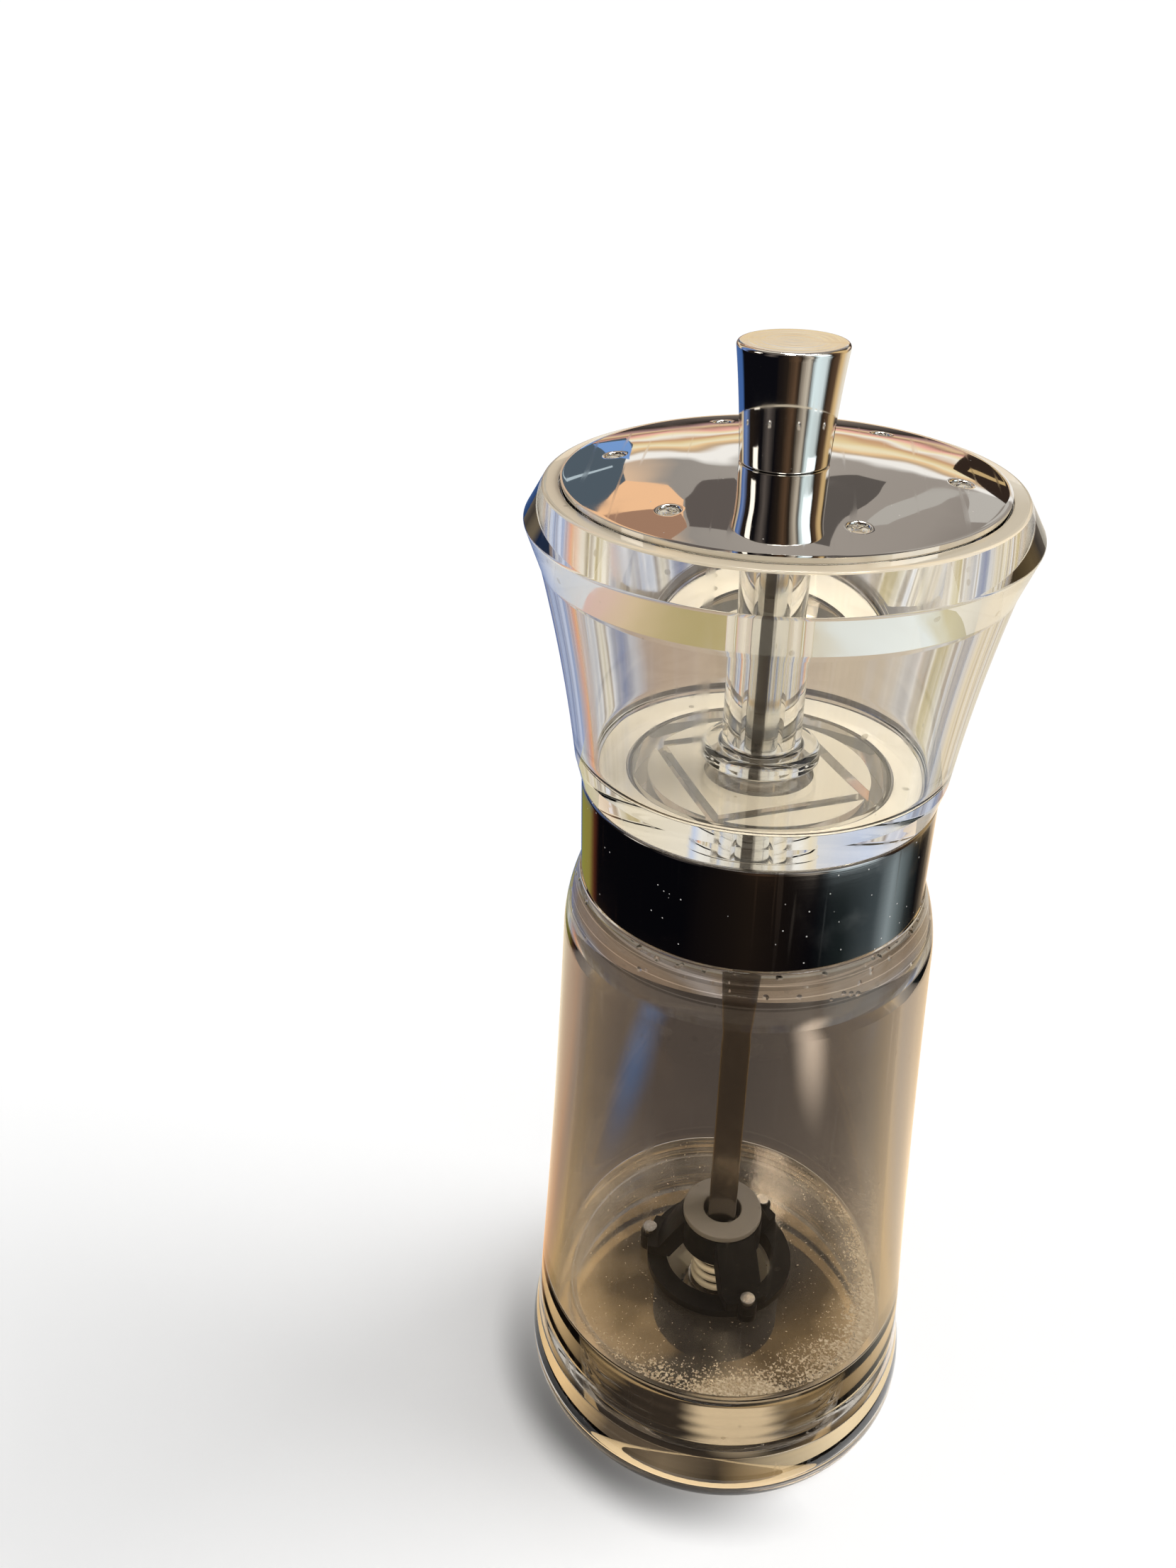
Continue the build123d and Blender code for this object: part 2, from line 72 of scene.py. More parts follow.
# Painted highlights: bright lines round the shoulder, above the start of its drops
painted_light_lines = (0.3, 1.5, 2.9)
painted_light_line_width = 0.14

# Bright band
band_bore_radius = 20.15
band_radius = 21.15
band_top = 102.1

# Floor of the pepper chamber
floor_height = 18.3
floor_thickness = 2.4
floor_radius = 24.40
floor_bore_radius = 24.48
floor_skirt_bottom = 7.3
floor_skirt_radius = 22.2
sleeve_hole_radius = 9.6
floor_thread_pitch = 2.1
floor_thread_depth = 0.75
floor_thread_levels = 111
floor_thread_start = 0.6
floor_thread_stop = 1.6
floor_thread_fade = 1.2

# Round the front the thread runs almost out: half the gap and its fade in degrees, and the share that is left
thread_gap_half = 35
thread_gap_fade = 30
thread_gap_left = 0.05

# Share of a turn from +X round to the viewer's side
front_share = 0.75

# Shaft and spring
shaft_width = 4.0
shaft_corner = 0.4
square_bottom = 6.6
square_top = 102.0
thread_radius = 1.95
thread_pitch = 0.7
thread_depth = 0.22
shaft_bottom = 3.3
shaft_top = 147.9
top_thread_start = 138.0
spring_radius = 3.6
spring_wire = 0.95
spring_bottom = 15.175
spring_top = 24.425
spring_turns = 6
spring_closing = 0.8
spring_closed_rate = 0.12

# Clear head
head_foot_radius = 21.2
head_corner = 105.7
head_base_radius = 22.0
head_hollow = 0.34
head_flare_radius = 25.8
head_wall = 2.6
head_floor_top = 106.2
head_floor_fillet = 1.2
rim_start = 129.15
rim_widest = 134.2
rim_radius = 27.55
rim_top_radius = 25.4
head_top = 137.9
cap_seat = 137.4
rebate_radius = 23.7
head_mouth_radius = 22.55

# Salt tube
tube_radius = 4.6
tube_bore_radius = 2.5
tube_hole_radius = 4.65
tube_flange_radius = 6.85
tube_flange_height = 2.0
tube_top = 139.0

# Web of the plug under the head
plug_web_under = 100.9

# Pierced cap
cap_radius = 23.55
cap_thickness = 1.1
cap_edge_top = 138.5
cap_top = 140.1
cap_rim = 0.35
cap_pad_radius = 5.57
cap_bore_radius = 2.25
salt_holes = 6
salt_hole_start = -65.8
salt_hole_circle = 18.2
salt_hole_radius = 1.1
salt_hole_lip = 0.25

# Grid of the cap: its step and half of a hole's patch in degrees, and half of the patch along the radius
cap_step = 1.5
cap_turn_steps = 240
patch_half = 9.0
patch_reach = 2.8

# Knob
knob_height = 12.3
knob_base_radius = 4.77
knob_top_radius = 5.82
knob_hollow = 0.13
knob_bore_radius = 2.0
knob_bore_depth = 9.2

# Small easing of edges that real mouldings and turnings have
edge = 0.25
fine_edge = 0.12
soft_join = 0.05
foot_blend = 1.6
foot_bore_edge = 0.4
mouth_edge = 0.6
band_low_roll = 0.3
band_high_roll = 0.35
floor_top_edge = 0.5
floor_fillet = 1.0
head_foot_edge = 0.35
flare_blend = 0.8
rim_edge = 0.45
rim_top_edge = 0.5
head_mouth_blend = 1.2
flange_edge = 0.7
shaft_end_edge = 0.3
knob_top_edge = 0.45
contact_gap = 0.03

# Copies of CAD nodes: points merged within metres, flat faces joined and sharp edges told by degrees
merge_within = 2e-6
flat_within = 0.6
sharp_from = 32


# Shapes


def through(start, middle, finish, steps=28):
    """The arc through three (radius, height) points.

    Its centre is as far from all three, and the angle runs evenly.
    """
    points = np.array([start, middle, finish], float)
    spans = 2 * (points[1:] - points[0])
    squares = (points**2).sum(1)
    centre = np.linalg.solve(spans, squares[1:] - squares[0])
    angles = np.unwrap(np.arctan2(points[:, 1] - centre[1], points[:, 0] - centre[0]))
    run = np.linspace(angles[0], angles[2], steps + 1)
    return centre + np.hypot(*(points[0] - centre)) * np.c_[np.cos(run), np.sin(run)]


def leaving(start, finish, way, steps=20):
    """The arc that leaves start along way and ends at finish.

    Its centre lies square to way, as far from both ends.
    """
    start, finish = np.array(start, float), np.array(finish, float)
    side = np.array([-way[1], way[0]]) / np.hypot(*way)
    span = finish - start
    reach = span @ span / (2 * span @ side)
    centre = start + side * reach
    first = math.atan2(*(start - centre)[::-1])
    swept = math.atan2(*(finish - centre)[::-1]) - first
    swept = swept % (2 * math.pi) if reach > 0 else -((-swept) % (2 * math.pi))
    run = first + np.linspace(0, swept, steps + 1)
    return centre + abs(reach) * np.c_[np.cos(run), np.sin(run)]


def straight(*points):
    """A run of straight lines through (radius, height) points."""
    return np.array(points, float)


def round_trip(*corners):
    """Straight runs from corner to corner and back to the first."""
    return [straight(*ends) for ends in zip(corners, corners[1:] + corners[:1])]


def middle_of(start, finish, hollow):
    """The point that lies hollow inside the middle of a line, for a shallow arc."""
    return (start[0] + finish[0]) / 2 - hollow, (start[1] + finish[1]) / 2


def rounded(runs, radii, steps=6):
    """Runs of points joined end to end, each join rounded by an arc that touches both runs.

    The arc leaves the corner's two sides at the radius times the tangent of half the turn. With as many
    radii as runs, the last run is joined to the first.
    """
    corners = []
    for number, radius in enumerate(radii):
        before, after = runs[number], runs[(number + 1) % len(runs)]
        corner = before[-1]
        come = (corner - before[-2]) / np.hypot(*(corner - before[-2]))
        go = (after[1] - after[0]) / np.hypot(*(after[1] - after[0]))
        turn = math.atan2(come[0] * go[1] - come[1] * go[0], come @ go)
        reach = radius * math.tan(abs(turn) / 2)
        side = math.copysign(1, turn) * np.array([-come[1], come[0]])
        angles = math.atan2(-side[1], -side[0]) + np.linspace(0, turn, steps + 1)
        arc = corner - come * reach + side * radius + radius * np.c_[np.cos(angles), np.sin(angles)]
        corners.append((corner, reach, arc))
    path = []
    for number, run in enumerate(runs):
        for corner, reach, _ in corners[number - 1:number] + corners[number:number + 1] + corners[-1:]:
            run = run[np.hypot(*(run - corner).T) > reach * 1.001]
        path.append(run)
        if number < len(corners):
            path.append(corners[number][2])
    path = np.concatenate(path)
    apart = np.hypot(*np.diff(path, axis=0).T) > 1e-5
    return path[np.r_[True, apart]]


def weigh_normals(mesh):
    """Gives each vertex the mean of its faces' normals by their area.

    So flat faces stay flat beside an arc.
    """
    counts = len(mesh.polygons), len(mesh.loops)
    normals, areas = np.empty(counts[0] * 3), np.empty(counts[0])
    corners, vertices = np.empty(counts[0], int), np.empty(counts[1], int)
    mesh.polygons.foreach_get("normal", normals)
    mesh.polygons.foreach_get("area", areas)
    mesh.polygons.foreach_get("loop_total", corners)
    mesh.loops.foreach_get("vertex_index", vertices)
    pull = np.repeat(normals.reshape(-1, 3) * areas[:, None], corners, axis=0)
    sums = np.zeros((len(mesh.vertices), 3))
    np.add.at(sums, vertices, pull)
    sums /= np.maximum(np.linalg.norm(sums, axis=1), 1e-20)[:, None]
    mesh.normals_split_custom_set_from_vertices(sums)


def new_piece(name, points, faces):
    """An object at the origin from points in millimetres and faces of vertex numbers."""
    mesh = bpy.data.meshes.new(name)
    mesh.from_pydata((np.asarray(points) * MM).tolist(), [], faces, shade_flat=False)
    mesh.validate()
    made = bpy.data.objects.new(name, mesh)
    bpy.context.scene.collection.objects.link(made)
    return made


def grid_quads(table):
    """The faces of a grid of vertex numbers."""
    sides = [table[:-1, :-1], table[:-1, 1:], table[1:, 1:], table[1:, :-1]]
    return np.stack(sides, axis=2).reshape(-1, 4)


def skin(name, rings, closed=True):
    """A surface over rings of points, each closed on itself, and the last joined to the first if closed.

    A ring that is a single point becomes a pole with triangles round it.
    """
    rows, around, _ = rings.shape
    table = np.arange(rows * around).reshape(rows, around)
    for row in (0, -1):
        if not closed and np.ptp(rings[row], axis=0).max() < 1e-9:
            table[row] = table[row, 0]
    table = np.c_[table, table[:, :1]]
    if closed:
        table = np.r_[table, table[:1]]
    quads = grid_quads(table)
    low_pole = quads[:, 0] == quads[:, 1]
    high_pole = quads[:, 2] == quads[:, 3]
    faces = quads[~low_pole & ~high_pole].tolist()
    faces += quads[low_pole][:, [0, 2, 3]].tolist()
    faces += quads[high_pole][:, :3].tolist()
    used = np.zeros(rows * around, bool)
    used[table.ravel()] = True
    number = np.cumsum(used) - 1
    faces = [[int(number[v]) for v in face] for face in faces]
    made = new_piece(name, rings.reshape(-1, 3)[used], faces)
    weigh_normals(made.data)
    return made


def carried_round(radius, angles, height):
    """Rings of points (r cos a, r sin a, z) at each angle a."""
    return np.stack([radius * np.cos(angles), radius * np.sin(angles), height + 0 * angles], axis=2)


def turned_rings(path, around):
    """The rings of a path of (radius, height) carried round Z."""
    angles = np.arange(around) * 2 * math.pi / around
    return carried_round(path[:, :1], angles, path[:, 1:])


def turned(name, path, around=288, closed=True):
    """A solid of revolution: the path of (radius, height) carried once round Z."""
    return skin(name, turned_rings(path, around), closed)


def eased_copy(node, name, width):
    """A copy of a CAD node: triangles merged, flat faces joined, and edges eased by a bevel."""
    mesh = frame["nodes"][node].data.copy()
    mesh.name = name
    if "custom_normal" in mesh.attributes:
        mesh.attributes.remove(mesh.attributes["custom_normal"])
    work = bmesh.new()
    work.from_mesh(mesh)
    bmesh.ops.remove_doubles(work, verts=work.verts, dist=merge_within)
    flat = math.radians(flat_within)
    bmesh.ops.dissolve_limit(work, angle_limit=flat, verts=work.verts, edges=work.edges)
    work.to_mesh(mesh)
    work.free()
    mesh.materials.clear()
    made = bpy.data.objects.new(name, mesh)
    bpy.context.scene.collection.objects.link(made)
    mesh.shade_smooth()
    sharp = math.radians(sharp_from)
    mesh.set_sharp_from_angle(angle=sharp)
    bevel = made.modifiers.new("eased edges", "BEVEL")
    bevel.width = width * MM
    bevel.segments = 2
    bevel.limit_method = "ANGLE"
    bevel.angle_limit = sharp
    bevel.use_clamp_overlap = True
    bevel.harden_normals = True
    return made


def body_path():
    """The body's section: foot bead, hollow taper, round shoulder, neck, and the stepped bore back down."""
    foot_inner = (floor_bore_radius, 0)
    foot_flat = (foot_radius - foot_edge, 0)
    belly = (foot_radius, foot_belly_height)
    foot_top = (body_base_radius, foot_height)
    shoulder = (shoulder_radius, shoulder_start)
    shoulder_top = (band_radius + 0.2, body_height)
    slope = (shoulder_radius - body_base_radius) / (shoulder_start - foot_height)
    step = (body_base_radius + slope * (floor_height - foot_height) - body_wall, floor_height)
    roof = (shoulder_radius - body_wall, shoulder_start)
    roof_top = (neck_bore_radius, body_height - shoulder_roof)
    runs = [
        straight(foot_inner, foot_flat),
        leaving(belly, foot_flat, (0, -1))[::-1],
        leaving(belly, foot_top, (0, 1)),
        through(foot_top, middle_of(foot_top, shoulder, body_hollow), shoulder),
        leaving(shoulder, shoulder_top, (slope, 1)),
        straight(shoulder_top, (neck_radius, body_height)),
        straight((neck_radius, body_height), (neck_radius, neck_top)),
        straight((neck_radius, neck_top), (neck_bore_radius, neck_top)),
        straight((neck_bore_radius, neck_top), roof_top),
        leaving(roof, roof_top, (slope, 1))[::-1],
        through(roof, middle_of(roof, step, body_hollow), step),
        straight(step, (floor_bore_radius, floor_height)),
        straight((floor_bore_radius, floor_height), foot_inner),
    ]
    return rounded(runs, [
        soft_join, soft_join, foot_blend, soft_join, edge, soft_join, edge, mouth_edge, mouth_edge, soft_join,
        fine_edge, fine_edge, foot_bore_edge,
    ])


def band_path():
    """The band's section: a thin ring with rolled edges."""
    bottom = body_height + contact_gap
    runs = round_trip(
        (band_bore_radius, bottom), (band_radius, bottom), (band_radius, band_top),
        (band_bore_radius, band_top),
    )
    return rounded(runs, [band_low_roll, band_high_roll, fine_edge, fine_edge])


def floor_rings(around=360):
    """The floor: a disc with a skirt whose outer face carries a screw thread.

    The thread takes depth times a raised cosine off the radius, whose phase is the height over the pitch less
    the share of a turn, faded out at both ends of the skirt. Round the front it runs almost out.
    """
    top, under = floor_height - contact_gap, floor_height - floor_thickness
    levels = np.linspace(floor_skirt_bottom, top, floor_thread_levels)
    runs = [
        straight((floor_skirt_radius, floor_skirt_bottom), (floor_radius, floor_skirt_bottom)),
        np.c_[np.full(floor_thread_levels, floor_radius), levels],
        straight((floor_radius, top), (sleeve_hole_radius, top)),
        straight((sleeve_hole_radius, top), (sleeve_hole_radius, under)),
        straight((sleeve_hole_radius, under), (floor_skirt_radius, under)),
        straight((floor_skirt_radius, under), (floor_skirt_radius, floor_skirt_bottom)),
    ]
    path = rounded(runs, [edge, floor_top_edge, edge, edge, floor_fillet, edge])
    rings = turned_rings(path, around)
    share = np.arange(around) / around
    height = path[:, 1:]
    on_face = path[:, :1] > floor_radius - 0.001
    begin = np.clip((height - floor_skirt_bottom - floor_thread_start) / floor_thread_fade, 0, 1)
    end = np.clip((top - floor_thread_stop - height) / floor_thread_fade, 0, 1)
    wave = 0.5 - 0.5 * np.cos(2 * math.pi * (height / floor_thread_pitch - share))
    from_front = np.abs((share - front_share + 0.5) % 1 - 0.5) * 360
    run_out = np.clip((from_front - thread_gap_half) / thread_gap_fade, thread_gap_left, 1)
    cut = floor_thread_depth * on_face * (begin * end) * wave * run_out
    rings[:, :, :2] *= ((path[:, :1] - cut) / path[:, :1])[:, :, None]
    return rings


def head_path():
    """The head's section: foot, hollow flare, bevelled rim, rebate for the cap, and the cup inside."""
    corner = (head_base_radius, head_corner)
    flare = (head_flare_radius, rim_start)
    mouth = (head_mouth_radius, rim_start)
    slope = (head_flare_radius - head_base_radius) / (rim_start - head_corner)
    floor_corner = (head_base_radius + slope * (head_floor_top - head_corner) - head_wall, head_floor_top)
    bottom = neck_top + contact_gap
    runs = [
        straight((tube_hole_radius, bottom), (head_foot_radius, bottom)),
        straight((head_foot_radius, bottom), corner),
        through(corner, middle_of(corner, flare, head_hollow), flare),
        straight(flare, (rim_radius, rim_widest)),
        straight((rim_radius, rim_widest), (rim_top_radius, head_top)),
        straight((rim_top_radius, head_top), (rebate_radius, head_top)),
        straight((rebate_radius, head_top), (rebate_radius, cap_seat)),
        straight((rebate_radius, cap_seat), (head_mouth_radius, cap_seat)),
        straight((head_mouth_radius, cap_seat), mouth),
        through(mouth, middle_of(mouth, floor_corner, head_hollow), floor_corner),
        straight(floor_corner, (tube_hole_radius, head_floor_top)),
        straight((tube_hole_radius, head_floor_top), (tube_hole_radius, bottom)),
    ]
    return rounded(runs, [
        head_foot_edge, head_foot_edge, flare_blend, rim_edge, rim_top_edge, fine_edge, soft_join, edge,
        head_mouth_blend, head_floor_fillet, fine_edge, fine_edge,
    ])


def tube_path():
    """The tube's section: a long thin wall with a rounded flange that stands on the cup's floor."""
    flange_bottom = head_floor_top + contact_gap
    flange_top = head_floor_top + tube_flange_height
    runs = round_trip(
        (tube_bore_radius, neck_top + contact_gap),
        (tube_radius, neck_top + contact_gap),
        (tube_radius, flange_bottom),
        (tube_flange_radius, flange_bottom),
        (tube_flange_radius, flange_top),
        (tube_radius, flange_top),
        (tube_radius, tube_top - contact_gap),
        (tube_bore_radius, tube_top - contact_gap),
    )
    return rounded(runs, [fine_edge, soft_join, edge, flange_edge, mouth_edge, edge, fine_edge, fine_edge])


def knob_path():
    """The knob's section from the bore's blind end round the outside to the middle of the top."""
    base = cap_top + contact_gap
    crown = cap_top + knob_height
    foot, top = (knob_base_radius, base), (knob_top_radius, crown)
    bore_end = cap_top + knob_bore_depth
    runs = [
        straight((0, bore_end), (knob_bore_radius, bore_end)),
        straight((knob_bore_radius, bore_end), (knob_bore_radius, base)),
        straight((knob_bore_radius, base), foot),
        through(foot, middle_of(foot, top, knob_hollow), top),
        straight(top, (0, crown)),
    ]
    return rounded(runs, [fine_edge, fine_edge, edge, knob_top_edge])


def cap_height(radius):
    """The cap's upper face: a flat pad, an arc that leaves it level, and a flat rim."""
    reach, drop = cap_radius - cap_rim - cap_pad_radius, cap_top - cap_edge_top
    bend = (reach**2 + drop**2) / (2 * drop)
    run = np.clip(radius - cap_pad_radius, 0, reach)
    return cap_top - bend + np.sqrt(bend**2 - run**2)


def cap_turn():
    """The angles of the cap's grid, once round."""
    return np.radians(salt_hole_start + patch_half + cap_step * np.arange(cap_turn_steps + 1))


def cap_plan():
    """The cap in plan: grids of x and y with the ring of holes left open, and each hole's middle and rim.

    Between two circles each hole has a square patch, whose grid runs from the patch's border in to a circle
    just outside the hole. The rest is a plain polar grid with the same steps, so that the borders meet.
    """
    patch_steps = int(2 * patch_half / cap_step)
    gap_steps = int(360 / salt_holes / cap_step) - patch_steps
    inner, outer = salt_hole_circle - patch_reach, salt_hole_circle + patch_reach
    radial_steps = 12
    grids = []
    around = cap_turn()
    for low, high, rows in (
        (cap_bore_radius, cap_pad_radius, 8),
        (cap_pad_radius, inner, 24),
        (outer, cap_radius, 12),
    ):
        radius = np.linspace(low, high, rows + 1)[:, None]
        grids.append(np.stack([radius * np.cos(around), radius * np.sin(around)], axis=2))
    side = np.linspace(inner, outer, radial_steps + 1)
    between = side[:, None]
    rims = []
    for number in range(salt_holes):
        centre = salt_hole_start + 360 / salt_holes * number
        plain = np.radians(centre + patch_half + cap_step * np.arange(gap_steps + 1))
        grids.append(np.stack([between * np.cos(plain), between * np.sin(plain)], axis=2))
        turn = np.radians(centre - patch_half + cap_step * np.arange(patch_steps + 1))
        first, last = np.full(radial_steps, turn[0]), np.full(radial_steps, turn[-1])
        border_angle = np.r_[turn[:-1], last, turn[:0:-1], first]
        border_radius = np.r_[
            np.full(patch_steps, inner), side[:-1], np.full(patch_steps, outer), side[:0:-1]
        ]
        border = np.c_[border_radius * np.cos(border_angle), border_radius * np.sin(border_angle)]
        border = np.r_[border, border[:1]]
        middle = salt_hole_circle * np.array([math.cos(math.radians(centre)), math.sin(math.radians(centre))])
        out = border - middle
        rim = middle + (salt_hole_radius + salt_hole_lip) * out / np.hypot(*out.T)[:, None]
        share = np.linspace(0, 1, 9)[:, None, None] ** 0.8
        grids.append(border[None] * (1 - share) + rim[None] * share)
        rims.append((middle, rim[:-1] - middle))
    return grids, rims


def cap_piece(name):
    """The cap: its plan laid on the upper face and, a plate's thickness lower, on the under face.

    The two are joined by the round lips of the holes, by the bore and by the outer edge.
    """
    grids, rims = cap_plan()
    points, faces = [], []
    count = 0

    def lay(grid, flip):
        nonlocal count
        rows, columns, _ = grid.shape
        table = count + np.arange(rows * columns).reshape(rows, columns)
        quads = grid_quads(table)[:, [0, 3, 2, 1]]
        points.append(grid.reshape(-1, 3))
        faces.extend((quads[:, ::-1] if flip else quads).tolist())
        count += rows * columns

    for grid in grids:
        height = cap_height(np.hypot(grid[:, :, 0], grid[:, :, 1]))[:, :, None]
        lay(np.concatenate([grid, height], axis=2), False)
        lay(np.concatenate([grid, height - cap_thickness], axis=2), True)
    bend = np.linspace(0, math.pi / 2, 5)
    radius = salt_hole_radius + salt_hole_lip * (1 - np.sin(bend))
    drop = salt_hole_lip * (1 - np.cos(bend))
    for middle, spokes in rims:
        spokes = np.r_[spokes, spokes[:1]] / (salt_hole_radius + salt_hole_lip)
        flat = cap_height(np.hypot(*(middle + spokes * (salt_hole_radius + salt_hole_lip)).T))
        upper = [np.c_[middle + spokes * r, flat - d] for r, d in zip(radius, drop)]
        lower = [np.c_[middle + spokes * r, flat - cap_thickness + d] for r, d in zip(radius, drop)]
        lay(np.array(upper + lower[::-1]), False)
    around = cap_turn()
    ring = np.c_[np.cos(around), np.sin(around)]
    for radius, flip in ((cap_radius, False), (cap_bore_radius, True)):
        height = float(cap_height(np.array([radius]))[0])
        levels = height - cap_thickness * np.linspace(0, 1, 4)
        lay(np.array([np.c_[ring * radius, np.full(len(ring), level)] for level in levels]), flip)
    made = new_piece(name, np.concatenate(points), faces)
    work = bmesh.new()
    work.from_mesh(made.data)
    bmesh.ops.remove_doubles(work, verts=work.verts, dist=1e-7)
    bmesh.ops.recalc_face_normals(work, faces=work.faces)
    work.to_mesh(made.data)
    work.free()
    made.data.set_sharp_from_angle(angle=math.radians(40))
    return made


def shaft_rings():
    """The shaft: a rounded square carried up Z between two round ends that bear a thread's wave.

    A point of the square lies at the angle's own distance to the rounded square. On the round ends the radius
    is the thread's, less depth times a raised cosine of the height over the pitch less the share of a turn.
    """
    around = 96
    angles = np.arange(around) * 2 * math.pi / around
    flat = shaft_width / 2 - shaft_corner
    power = 14
    spread_out = np.abs(np.cos(angles)) ** power + np.abs(np.sin(angles)) ** power
    square = shaft_width / 2 / spread_out ** (1 / power)
    square = np.minimum(square, flat * math.sqrt(2) + shaft_corner)
    lower = np.linspace(shaft_bottom + shaft_end_edge, square_bottom - 0.02, 34)
    upper = np.linspace(top_thread_start, shaft_top - shaft_end_edge, 130)
    heights = np.r_[
        shaft_bottom, shaft_bottom, lower, square_bottom, square_bottom + 0.1, np.linspace(20, 90, 8),
        square_top - 0.1, square_top, square_top + 0.02, upper, shaft_top, shaft_top,
    ]
    share = angles / (2 * math.pi)
    wave = 0.5 - 0.5 * np.cos(2 * math.pi * (heights[:, None] / thread_pitch - share))
    cut = thread_depth * wave
    rings = np.zeros((len(heights), around))
    is_square = (heights > square_bottom - 0.01) & (heights < square_top + 0.01)
    threaded = ~is_square & ((heights < square_bottom) | (heights > top_thread_start))
    rings[:] = thread_radius
    rings -= cut * threaded[:, None]
    rings[is_square] = square
    eased = np.isclose(heights, square_bottom) | np.isclose(heights, square_top)
    rings[eased] *= 0.97
    rings[[1, -2]] = thread_radius - shaft_end_edge
    rings[[0, -1]] = 0
    return carried_round(rings, angles, heights[:, None])


def spring_piece(name):
    """The spring: a round wire carried along a helix whose first and last turns close up and lie flat.

    At turn t the wire's middle is at the spring's radius and the angle 2 pi t. The height is the integral
    of a pitch that rises from almost nothing over the first turn and falls to it over the last.
    """
    steps = 80 * spring_turns
    turns = np.linspace(0, spring_turns, steps + 1)
    opening = np.clip(turns / spring_closing, spring_closed_rate, 1)
    rate = opening * np.clip((spring_turns - turns) / spring_closing, spring_closed_rate, 1)
    climb = np.r_[0, np.cumsum((rate[1:] + rate[:-1]) / 2)]
    height = spring_bottom + (spring_top - spring_bottom) * climb / climb[-1]
    angle = 2 * math.pi * turns
    middle = np.c_[spring_radius * np.cos(angle), spring_radius * np.sin(angle), height]
    way = np.gradient(middle, axis=0)
    way /= np.linalg.norm(way, axis=1)[:, None]
    outward = np.c_[np.cos(angle), np.sin(angle), 0 * angle]
    up = np.cross(outward, way)
    wire_sides = 16
    round_wire = (np.arange(wire_sides) * 2 * math.pi / wire_sides)[None, :, None]
    middle, outward, up = (np.r_[v[:1], v[:1], v, v[-1:], v[-1:]][:, None] for v in (middle, outward, up))
    radius = spring_wire / 2 * np.r_[0, 0.8, np.ones(len(turns)), 0.8, 0]
    around = np.cos(round_wire) * outward + np.sin(round_wire) * up
    return skin(name, middle + radius[:, None, None] * around, closed=False)


# Materials

acrylic_index = 1.49


def put(tree, kind, sockets=None, **settings):
    """Adds a node, sets its settings, and gives each named or numbered socket a value or a link."""
    made = tree.nodes.new("ShaderNode" + kind)
    for name, value in settings.items():
        setattr(made, name, value)
    for name, value in (sockets or {}).items():
        if isinstance(value, bpy.types.NodeSocket):
            tree.links.new(value, made.inputs[name])
        else:
            made.inputs[name].default_value = value
    return made


def maths(tree, operation, *values, **settings):
    """The result of an operation on numbers and sockets."""
    return put(tree, "Math", dict(enumerate(values)), operation=operation, **settings).outputs[0]


def vectors(tree, operation, *values):
    """The result of an operation on vectors: a number for a length or a dot product, and else a vector."""
    made = put(tree, "VectorMath", dict(enumerate(values)), operation=operation)
    return made.outputs["Value" if operation in ("LENGTH", "DOT_PRODUCT") else "Vector"]


def scaled(tree, vector, factor):
    """A vector times a number."""
    return put(tree, "VectorMath", {0: vector, "Scale": factor}, operation="SCALE").outputs[0]


def spread(tree, value, start, end, low=0.0, high=1.0, **settings):
    """A value that runs from start to end spread from low to high, and held there outside."""
    sockets = {"Value": value, "From Min": start, "From Max": end, "To Min": low, "To Max": high}
    return put(tree, "MapRange", sockets, **settings).outputs[0]


def ranged(tree, value, low, high):
    """A 0 to 1 value spread from low to high."""
    return spread(tree, value, 0.0, 1.0, low, high)


def object_place(tree):
    """The place on the piece, in metres from the part's origin."""
    return put(tree, "TexCoord").outputs["Object"]


def axes_of(tree, place):
    """The x, y and z of a place."""
    return put(tree, "SeparateXYZ", {0: place}).outputs


def flattened(tree, place):
    """A place brought down to height 0."""
    return vectors(tree, "MULTIPLY", place, (1.0, 1.0, 0.0))


def from_axis(tree, place):
    """A place's distance from the Z axis."""
    return vectors(tree, "LENGTH", flattened(tree, place))


def stretched(tree, place, scale):
    """A place with its axes scaled, so that noise over it is drawn out."""
    return put(tree, "Mapping", {"Vector": place, "Scale": scale}).outputs[0]


def noise(tree, place, scale, detail, rough=0.5):
    """Smooth noise over a place."""
    sockets = {"Vector": place, "Scale": scale, "Detail": detail, "Roughness": rough}
    return put(tree, "TexNoise", sockets).outputs[0]


def cells(tree, scale):
    """A cell pattern: the distance from each cell's point, and a chance from 0 to 1 that each cell has."""
    made = put(tree, "TexVoronoi", {"Vector": object_place(tree), "Scale": scale}).outputs
    return made["Distance"], put(tree, "SeparateColor", {0: made["Color"]}).outputs[0]


def mixed(tree, share, first, second):
    """A colour between two by a share. Each is three numbers or a socket."""
    pair = [side if isinstance(side, bpy.types.NodeSocket) else (*side, 1) for side in (first, second)]
    return put(tree, "Mix", {0: share, 6: pair[0], 7: pair[1]}, data_type="RGBA").outputs[2]


def bumped(tree, height, strength, distance, normal=None):
    """A normal from a height, with the bump's depth in millimetres, on another normal if one is given."""
    sockets = {"Height": height, "Strength": strength, "Distance": distance * MM}
    if normal:
        sockets["Normal"] = normal
    return put(tree, "Bump", sockets).outputs[0]


def new_group(name, output, **inputs):
    """A shader node group with value inputs, given with their usual values, and one value output."""
    tree = bpy.data.node_groups.new(name, "ShaderNodeTree")
    for socket, value in inputs.items():
        made = tree.interface.new_socket(socket, in_out="INPUT", socket_type="NodeSocketFloat")
        made.default_value = value
    tree.interface.new_socket(output, in_out="OUTPUT", socket_type="NodeSocketFloat")
    return tree, tree.nodes.new("NodeGroupInput").outputs, tree.nodes.new("NodeGroupOutput").inputs[0]


